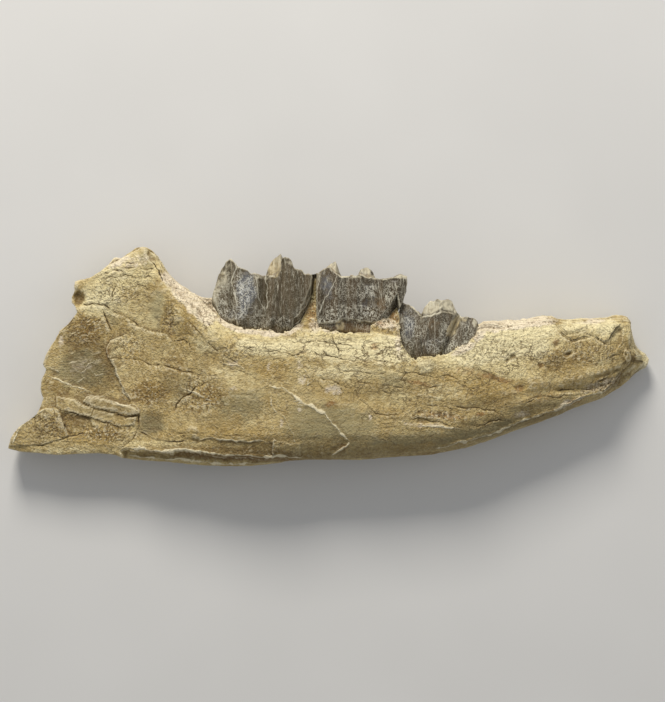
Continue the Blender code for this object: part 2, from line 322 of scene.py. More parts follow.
bone = {
    "cells": (200, 50, 8),
    # Shares of the height where the rows of cells lie, closer together at both edges
    "rows": [0, 0.012, 0.03, 0.06, 0.1, 0.16, 0.24, 0.33, 0.43, 0.53, 0.63, 0.73, 0.82, 0.89, 0.94,
             0.975, 1],
    "steepWeight": 0.55,
    "edges": {
        "low": [(-100, -28.5), (-96.5, -29.5), (-90.5, -30), (-85, -30.5), (-72, -30), (-66.5, -30.5),
                (-64.5, -31.5), (-57, -32.3), (-49.5, -32.7), (-42, -33.5), (-34, -33.9),
                (-26.5, -33.9), (-20, -33.5), (-14, -32.5), (-9.5, -32), (9.5, -32), (21.5, -31),
                (31, -30.5), (37.5, -29.2), (43.5, -28), (49.5, -26), (59, -22.5), (65, -20.5),
                (70.5, -18.5), (73.5, -17), (79, -15), (85, -13), (87.5, -11.5), (90.5, -10),
                (94.5, -7), (96, -5.5), (99, -3.5), (100, -1.5)],
        "high": [(-79, 23), (-77.5, 23.5), (-75, 24), (-72.5, 25.5), (-68.5, 28.5), (-67, 30.5),
                 (-65, 30.5), (-62.5, 32), (-60, 33.5), (-58, 33.9), (-55.5, 33), (-54, 31.5),
                 (-53.5, 30), (-51, 26.5), (-48, 23), (-44.5, 21), (-41.5, 19), (-39, 18),
                 (-36.6, 18), (-36, 15.5), (-34, 12.5), (-30.5, 10), (-26.5, 8.5), (-21, 8.5),
                 (-18, 7.6), (-14.5, 7.5), (-12, 8.4), (-9.8, 9.8), (-8.4, 12), (-7, 14.5),
                 (-6, 16.8), (-5.4, 19.2), (-4.9, 23.8), (-4.3, 23.8), (-4.2, 11.5), (-3.5, 9.2),
                 (-1.5, 8.2), (1.5, 7.8), (5, 7.2), (12.4, 7.2), (12.9, 10.2), (15, 11), (18, 12.2),
                 (19.5, 14), (20.6, 15.5), (21.1, 13), (21.4, 5.2), (22.6, 2.8), (24.2, 0.6), (26, -1.4),
                 (28.1, 0), (31.2, 0.5), (33.5, 0), (35.7, 0.8), (38.2, 2), (42.2, 3.9),
                 (44.7, 6.7), (45.4, 9.3), (47.8, 10.7), (53, 11), (59, 11.5), (62, 12),
                 (66.5, 12.5), (69, 12.6), (70.5, 12), (76, 11.5), (82, 12), (86.5, 12),
                 (89, 12.5), (92, 12.5), (93, 12)],
        "back": [(-100, -28.5), (-99, -25.5), (-98, -23.5), (-94, -20), (-91, -18), (-90, -15.5),
                 (-89, -13), (-90, -10), (-89.5, -7.5), (-88, -4), (-89, -2.5), (-88, 0.5),
                 (-86.5, 3.5), (-84, 7.5), (-81, 10.5), (-78.5, 13.5), (-79, 15.5), (-80, 16.5),
                 (-80, 18.5), (-79, 20.5), (-79, 23)],
        "front": [(100, -1.5), (99, 0.5), (96.5, 2.5), (95.5, 5), (94.5, 8.5), (93.5, 11), (93, 12)],
    },
    "sectionHighLine": [(-79, 23), (-58, 34), (-54, 31.5), (-48, 23), (-41.5, 19), (-36, 14), (-29, 9.5),
                        (10, 8.5), (22, 6), (33, 1.5), (46, 8.5), (62, 12), (93, 12)],
    "highEdgeFade": 5,
    "sections": {
        "x": [-100, -85, -62, -45, -28, 0, 30, 60, 84, 100],
        "middle": [8, 8.5, 10, 11, 11.5, 11.5, 11, 10, 8.5, 6.5],
        "outer": [11.5, 12.5, 14.5, 18.5, 22, 22.6, 22, 19.5, 16, 11],
        "inner": [4.5, 4.8, 5.5, 3.8, 1.8, 0.8, 0.8, 1.4, 1, 1.5],
        "lowEdge": [2.2, 2.6, 2.8, 3, 3.2, 3.4, 3.4, 3.2, 3, 2.8],
        "highEdge": [1.8, 2, 2.4, 3.6, 7, 8, 8, 6.6, 5, 3.5],
        "squareness": [5, 5, 4, 3, 2.4, 2.2, 2.2, 2.2, 2.2, 2.2],
    },
    "sectionBlend": 7,
    "highRound": 1.6,
    "highRoundReach": (46, 54),
    "highRoundPower": 4,
    "lowRound": 0.9,
    "lowRoundReach": (-12, 10),
    "lowRoundPower": 14,
    "septumStart": 9,
    "septumTaper": 0.42,
    "septumEnds": (-34, 24),
    "ridgePath": [(-54, 31), (-51, 20.5), (-45, 14), (-36, 7), (-28, 3.5), (-10, 1.5), (28, -6.5)],
    "ridgeHeights": [1, 2.6, 2.4, 2, 1.5, 0.9, 0.3],
    "ridgeHalfWidth": 5,
    # Shallow hollow of the back plate: place, half lengths, depth
    "hollow": (-69, -3, 20, 17, 2.0),
    "beadPath": [(-94, -27), (-72, -27.5), (-52, -29)],
    "beadHalfWidth": 4.5,
    "beadHeight": 6.2,
    "restingSpots": [(2, 2, 13, 6, 2.6), (4, -20, 15, 6, 2.4), (80, -3, 9, 6, 2.4)],
    "frontTip": 100,
    "frontSlant": 6,
    "frontReach": 18,
    # Plates of split bone: height, width of the edge, outline
    "plates": [
        (0.5, 0.16, [(-85, -12.1), (-79.2, -13.3), (-76.7, -15), (-73.2, -15.8), (-74.2, -18.7),
                     (-77.6, -18), (-83.5, -16.4), (-85, -15.4)]),
        (0.75, 0.16, [(-76.7, -13.9), (-75.5, -12.3), (-69.9, -12.9), (-66, -14.2), (-60.9, -15.4),
                      (-58.8, -17), (-59.2, -17.8), (-63.7, -18.1), (-67.9, -16.8), (-73, -15.8)]),
        (0.35, 0.16, [(-73, -16.2), (-67.9, -17.3), (-62.1, -18.5), (-59.8, -18.6), (-60.5, -21),
                      (-62.5, -21.2), (-66, -21.6), (-70.7, -20.1), (-74.2, -19)]),
        (-0.45, 0.2, [(-83.5, -17.2), (-74.2, -19.3), (-73, -22.4), (-80.4, -24.7), (-81.9, -22)]),
        (0.4, 0.2, [(-88.1, -15.8), (-84.4, -16.2), (-83.5, -18.5), (-81.9, -22), (-80.7, -24.3),
                    (-84.2, -25.9), (-89.3, -27.1), (-99.4, -27.8), (-99.4, -23.6), (-91.2, -17)]),
        (0.35, 0.3, [(-17.5, -26.2), (-12, -26.6), (-9, -26.6), (-9, -30.4), (-17.4, -30.2)]),
        (-0.5, 0.35, [(86.9, 6), (89.7, 9.5), (91, 9.2), (91.5, 5), (89.5, 2), (87, 1.6)]),
        (0.6, 0.3, [(94, 2.6), (97.5, 1.4), (99.6, -1.4), (96.4, -2), (93.6, 0.4)]),
        (0.5, 0.3, [(84.6, 4.8), (87, 6.4), (90, 11.5), (82, 11.5), (79.5, 8)]),
    ],
    # Rounded bumps and hollows: place, half lengths, turn, height
    "bumps": [
        (-55.3, -20.9, 5, 4.2, 0, -0.7), (-42.5, -22.5, 2.6, 2.4, 0, 0.8), (-78, 18.1, 2.2, 2.4, 0, -1.6),
        (29.2, -2.6, 3, 2.2, 0, 0.7), (63.4, -8.2, 3.4, 2.8, 0, 0.8), (46, -15, 9, 2.4, 5, -0.5),
        (55.9, 0.5, 0.9, 0.7, 20, -0.9), (54.5, -0.7, 0.8, 0.5, 20, -0.7), (73.3, 1.1, 1.2, 0.6, 25, -0.8),
        (69.5, 4.2, 1.1, 0.8, 20, -0.5), (64.6, -2.6, 0.9, 0.8, 0, -0.5), (58.1, -9.4, 1.6, 0.9, 10, -0.5),
        (76, -9.8, 8, 1.1, 4, -0.9), (87, -5.2, 6, 0.8, 12, -0.8), (28.5, -19.6, 3, 0.8, -5, -0.6),
        (89.6, 8.9, 1.5, 1.5, 0, -0.7), (12, -13, 12, 3, -12, -0.5), (-30, -9, 12, 4, -25, 0.4),
        (80, -5.5, 9, 1.6, 10, 0.6), (60, -14, 10, 1.6, 10, 0.5), (-28, -19, 12, 4, 0, -0.4),
    ],
    # Cracks and broken edges: half width, depth, height of the left side over the right, points
    "cracks": [
        (0.22, 0.4, 0.1, [(-66.6, 21.1), (-67.4, 19.4), (-67.5, 17.6), (-68.3, 15.8)]),
        (0.24, 0.6, -0.3, [(-67.4, 14.5), (-65.2, 13.3), (-62.1, 11.8), (-59, 10), (-57.8, 9.5),
                           (-55.6, 8.3), (-51.6, 7.3), (-50.1, 6.4), (-48.1, 4.8)]),
        (0.22, 0.4, -0.1, [(-48.1, 4.8), (-45, 5), (-43.2, 4), (-42.7, 2)]),
        (0.25, 0.5, -0.15, [(-70.1, 13.7), (-68.7, 10.6), (-67.2, 7.7)]),
        (0.24, 0.5, -0.1, [(-68.3, -0.3), (-63.7, -0.4), (-59, -0.9), (-56.3, -2), (-51.2, -2.6),
                           (-48.1, -3.8), (-43.5, -4.9), (-38.2, -6.2)]),
        (0.24, 0.45, 0.1, [(-40.4, -8.8), (-43.5, -11.9), (-45.3, -13.2), (-46.6, -14.7), (-48.1, -16.9)]),
        (0.2, 0.2, 0.6, [(-61.9, 7.6), (-65.8, 5.8), (-68.3, 4.7), (-69.6, 2.5), (-68.3, -0.7),
                         (-66, -5.7), (-63.7, -10), (-62.1, -13.5), (-61.2, -14.7)]),
        (0.26, 0.5, 0.2, [(-59.4, -17.5), (-59.6, -19.7), (-59.9, -23.4), (-61.2, -25.6), (-63, -27.1),
                          (-65.2, -28.2)]),
        (0.28, 0.5, 0, [(-83.9, -16.3), (-82.7, -19.7), (-82, -22.2), (-80.4, -24.5)]),
        (0.22, 0.3, 0.1, [(-80.4, -24.5), (-83.2, -25.9), (-87, -26.8), (-91.3, -27.5)]),
        (0.24, 0.3, 0.1, [(-80.4, -24.5), (-77.6, -24), (-75.2, -23.1)]),
        (0.2, 0.35, 0, [(-83.9, -16.7), (-77.6, -18.3), (-73.8, -19.2), (-70.2, -20.6), (-65, -21.8)]),
        (0.2, 0.35, 0, [(-72, -16.2), (-67.9, -17.1), (-63.7, -18.3), (-59.3, -18.1)]),
        (0.16, 0.2, 0, [(-93.6, -26.6), (-88, -26.2), (-84, -25), (-80.4, -24.7)]),
        (0.16, 0.2, 0, [(-90, -27.6), (-84, -26.6), (-78, -26.4), (-72, -27.2)]),
        (0.24, 0.3, 0.2, [(-59.3, -22.8), (-55.3, -25.3), (-51.2, -26.4), (-43.5, -26.2)]),
        (0.24, 0.4, 0, [(-76.4, 16.6), (-73.9, 16.3), (-70.5, 15.7), (-67.7, 14.6)]),
        (0.18, 0.4, -0.2, [(-62.7, 28.8), (-60.2, 29.4), (-57.8, 28.9), (-56.2, 29.5)]),
        (0.18, 0.4, -0.2, [(-63.4, 27.4), (-59.9, 27.8), (-57.1, 26.7), (-54.3, 27.5)]),
        (0.2, 0.35, -0.1, [(-69.6, 24.9), (-65.8, 24.6), (-62.7, 25.3), (-59, 24.4), (-55.3, 24.7)]),
        (0.2, 0.35, -0.1, [(-70.2, 26), (-66.5, 26.4), (-63.4, 26.1)]),
        (0.2, 0.35, 0, [(-59.6, 22.5), (-57.1, 21.5), (-55, 19.8)]),
        (0.22, 0.4, 0.3, [(-54.3, 28.8), (-53.1, 26.3), (-51.6, 22.9)]),
        (0.18, 0.3, 0, [(-38.8, 5.2), (-36.3, 3.3), (-33.5, 1.4), (-30.4, -0.4), (-28, -1.7)]),
        (0.18, 0.3, -0.1, [(-14.1, 5.5), (-11.5, 4.5), (-8.7, 3.9), (-5, 4.4), (-2.2, 4.2), (0.3, 4.1),
                           (2.8, 3.9), (6.2, 4.5), (9, 4.5)]),
        (0.18, 0.35, 0, [(0.9, 7), (1.2, 4.8), (2.8, 2), (3, -0.1)]),
        (0.2, 0.4, -0.1, [(-4.3, 1.1), (-0.9, 0.5), (1.2, -0.1), (4.7, -0.9), (6.8, -1.4), (9.6, -1.4),
                          (13, -0.7), (16.5, -1.5), (21.4, -2.3)]),
        (0.16, 0.3, 0, [(1.7, -4.5), (5.3, -4.8), (9, -5), (13, -5.1), (17.1, -4.8)]),
        (0.18, 0.35, -0.1, [(-3.1, -6.6), (0, -7.3), (3.1, -8.8), (6.7, -9.9)]),
        (0.18, 0.35, 0, [(13.7, -9.4), (16.8, -10.8), (19.6, -11.3), (21.1, -11.3)]),
        (0.18, 0.3, 0, [(8.7, -12.5), (11.2, -14.4), (14, -16.9), (17.4, -17.8), (21.4, -18.1)]),
        (0.16, 0.3, 0, [(9.9, 3.3), (11.2, 1.4), (11.2, -0.4)]),
        (0.16, 0.3, 0, [(13, -18.1), (15.8, -20), (18.9, -21.2)]),
        (0.25, 0.35, 0, [(45.8, -4.2), (48.1, -5.3), (49.3, -6.6), (52, -7.3), (54.3, -7.3),
                         (55.9, -8.4), (57.8, -10), (59, -10.7)]),
        (0.2, 0.35, 0, [(37.3, -11.9), (38.8, -11.1), (41.5, -10.4), (45, -9.4), (47.4, -8.4),
                        (49.7, -7.6), (52, -7.3)]),
        (0.25, 0.35, 0, [(23.3, -6.9), (26.4, -8), (29.5, -8.8), (32.3, -9.4)]),
        (0.18, 0.3, 0, [(52, -7.3), (54.3, -6.3), (56.5, -5.7)]),
        (0.2, 0.35, -0.1, [(37.3, -15), (41.3, -15.3), (45.8, -15.8), (49.7, -16.6), (52.8, -18.1),
                           (53.6, -18.9)]),
        (0.16, 0.25, 0, [(24.2, -19.1), (27.6, -18.8), (30.1, -19.7), (34.2, -20.9), (37.9, -21.4)]),
        (0.2, 0.35, 0, [(42.2, -20.9), (46.6, -20.9), (49.7, -20), (53.4, -19.7)]),
        (0.18, 0.3, 0, [(53.4, -14.7), (56.5, -14.1), (60.2, -14.1), (63, -12.9)]),
        (0.2, 0.5, -0.3, [(66.8, 11.4), (69.5, 9.5), (71.7, 7.1), (72.4, 6.4), (74.5, 4.4), (76.4, 5.4),
                          (78.4, 6.5), (80.7, 7.1), (82.3, 6.4), (84.6, 4.5), (85.7, 4), (86.2, 2)]),
        (0.16, 0.25, -0.2, [(68.3, 11.4), (70.7, 9.4), (73, 7.6), (75.2, 7.9), (77.6, 9.2), (81, 10.2)]),
        (0.24, 0.4, 0, [(86.6, 5.9), (87.9, 8), (89.7, 9.5)]),
        (0.24, 0.5, 0.2, [(86.6, -0.3), (90.1, 0.5), (93.9, 1.3)]),
        (0.22, 0.35, 0.4, [(81.7, -7.6), (86.5, -6), (90, -4.5), (93.6, -3.3), (94.5, -2), (98.8, -1.3)]),
        (0.16, 0.3, 0.2, [(85.7, 4), (86, 1), (85.7, -3.5)]),
        (0.18, 0.3, 0.2, [(70.2, -10.4), (73.3, -10.1), (76.7, -9.6), (81.5, -10.4)]),
        (0.22, 0.4, 0.4, [(94.4, 1.6), (95.3, 0.2), (94.7, -1.7)]),
        (0.2, 0.5, 0.3, [(34, -28.2), (44, -26), (55, -22), (66, -17.8), (76, -13.6), (84, -10.4)]),
        (0.16, 0.25, 0, [(60, -13), (66, -11.8), (70, -12.4), (77, -11.8)]),
        (0.16, 0.3, 0, [(-27, 3.5), (-22, 1.2), (-17, 1.6), (-12, 0.4), (-7, 1.8)]),
        (0.16, 0.3, 0, [(-36, 0.4), (-31, -3.4), (-25.5, -4.6), (-21, -7.2)]),
        (0.16, 0.3, 0, [(6, -7.4), (11, -8.3), (17, -8.6), (23, -9.9)]),
        (0.16, 0.3, 0, [(20, -4.8), (26, -4.6), (31, -6), (36, -5.6), (40, -7.4)]),
        (0.16, 0.3, 0, [(28, -14.2), (33, -15.1), (38, -16.6), (43, -17.2)]),
        (0.15, 0.3, 0, [(22, -2.4), (22.8, -4.6), (22, -7), (23.3, -8.8)]),
        (0.16, 0.3, 0, [(-50, -22.6), (-45, -23.4), (-38, -23.8), (-30, -24.4), (-22, -24)]),
        (0.18, 0.4, 0, [(-44.5, 13.5), (-41.5, 9), (-38.6, 5.6), (-34.5, 3.4)]),
    ],
    # Pale lines, where mineral fills an old crack or a thin edge stands up, and painted highlight along
    # the upper edges of the raised plates: half width, height of the line, height of its left side over the
    # right, points
    "paleLines": [
        (0.4, 0.28, -0.15, [(-18.6, -9.1), (-15.5, -9.4), (-13.7, -9.9), (-11.5, -11), (-9.6, -12.4),
                            (-5.7, -14.9), (-3.4, -16.6), (-0.7, -18.4), (1.9, -21.6), (3.1, -23.3),
                            (5.6, -25.8)]),
        (0.2, 0.1, 0, [(-10.9, 1.4), (-9.6, -1.1), (-8.4, -3.5), (-6.5, -6), (-6.5, -8.5)]),
        (0.2, 0.12, 0, [(-18.1, -12.4), (-17.7, -14.4), (-16.5, -16.9), (-14, -18.8), (-12.4, -21.9),
                        (-11.2, -24.3), (-10.7, -26.8)]),
        (0.22, 0.1, 0, [(-9.3, -14.3), (-6.8, -14.6)]),
        (0.22, 0.12, 0, [(-6.5, -8.8), (-5, -6.6)]),
        (0.2, 0.2, -0.2, [(-17.5, -26.4), (-16.8, -25.9), (-15.5, -26.5), (-13, -26.7)]),
        (0.2, 0.2, 0.3, [(-17.5, -26.4), (-17.7, -29), (-17.1, -30.2)]),
        (0.24, 0.2, 0.2, [(5.9, -26.2), (4.3, -27.8), (2.5, -28.4), (0.3, -30.2)]),
        (0.22, 0.25, 0.4, [(-43.8, -25), (-40.4, -25), (-37.3, -25.1), (-34.9, -25.5), (-28.7, -25.9),
                           (-24.8, -26.1), (-19.9, -25.6)]),
        (0.2, 0.12, 0, [(26.4, -11.5), (29.8, -11.7), (34.2, -12.7)]),
        (0.24, 0.1, 0.1, [(27, -20.9), (31.1, -21.4), (35.3, -21.7), (40.4, -22.2)]),
        (0.2, 0.1, 0.2, [(-89, -2.9), (-86.5, -3.4), (-84, -4.5)]),
        (0.24, 0.12, -0.2, [(-87.6, -5.4), (-84, -6.8), (-80.4, -8.5), (-75.8, -10.6), (-74.2, -11.3)]),
        # This line and the next follow the upper edges of the two raised plates; their pale colour is a
        # painted highlight where those edges face the light
        (0.26, 0.1, -0.1, [(-75.8, -12.2), (-69.9, -12.7), (-66, -14), (-60.9, -15.2), (-58.6, -16.8)]),
        (0.2, 0.08, -0.1, [(-85, -12), (-79.2, -13.2), (-76.7, -14.8), (-73.4, -15.6)]),
        (0.3, 0.1, 0, [(-88.9, -16.2), (-91, -18.2), (-94.6, -20.9), (-97.2, -23.6), (-98.4, -26.8)]),
        (0.4, 0.3, -0.3, [(30, -28.8), (42, -26.2), (54, -22), (66, -17.2), (76, -13.4), (84, -10.6),
                          (90, -8)]),
        (0.2, 0.1, 0, [(-46, -9.2), (-40, -11.6), (-36, -13.9)]),
        (0.15, 0.1, 0, [(-79.5, -3.4), (-77, -5.6), (-74.6, -3.6), (-72.6, -6.2), (-69.8, -5.4)]),
        (0.13, 0.1, 0, [(-76.6, -6.8), (-74.8, -2.2), (-72.8, -1)]),
        (0.13, 0.1, 0, [(-81, -6.4), (-78.2, -7.6), (-75.4, -7)]),
        (0.5, 0.15, 0.2, [(-66.9, -3.6), (-64.2, -9), (-62.6, -12.8)]),
        (0.22, 0.12, 0, [(94.6, -0.6), (97.4, 0.6), (99, -1)]),
        (0.22, 0.12, 0, [(-34, -1.2), (-30.6, -2.6), (-28, -2.2), (-25.6, -3.8)]),
        (0.42, 0.35, 0.3, [(-66, -27.9), (-54, -28.7), (-45, -29), (-36, -29.7), (-26, -30.5),
                           (-16, -30.9), (-9, -30.6)]),
        (0.3, 0.25, 0, [(-63, -30.7), (-52, -31.4), (-42, -32.4), (-34, -32.9), (-25, -33), (-18, -32.5)]),
    ],
    "crackShare": 0.85,
    "paleLineSpread": 1.2,
    "liftReach": 2.2,
    # The low ledge: below this line an inner layer stands back
    "ledgePath": [(-65, -28.7), (-63.7, -29), (-54, -29.4), (-48.1, -29.6), (-38.5, -30.2), (-32.6, -30.9),
                  (-24.8, -31.3), (-18.6, -31.7), (-13.2, -31.7), (-8.5, -31.3), (-3.1, -31.3)],
    "ledgeDepth": 2.0,
    # The step beside the high edge of the back plate
    "rimPath": [(-54.3, 28.4), (-51.6, 22.9), (-48.4, 19.4), (-44.1, 16), (-40.1, 12), (-37, 9.2)],
    "rimDepth": 1.6,
    # How near to cracks, pale lines, edges of plates and the ledge the cells are finer
    "finerReach": (0.55, 0.45, 0.45, 0.8),
    "grainHeight": 0.16,
    "tornHeights": (0.3, 0.5),
    "pitDepths": (0.12, 0.3),
    "streakHeight": 0.07,
    "bulgeHeight": 0.12,
}

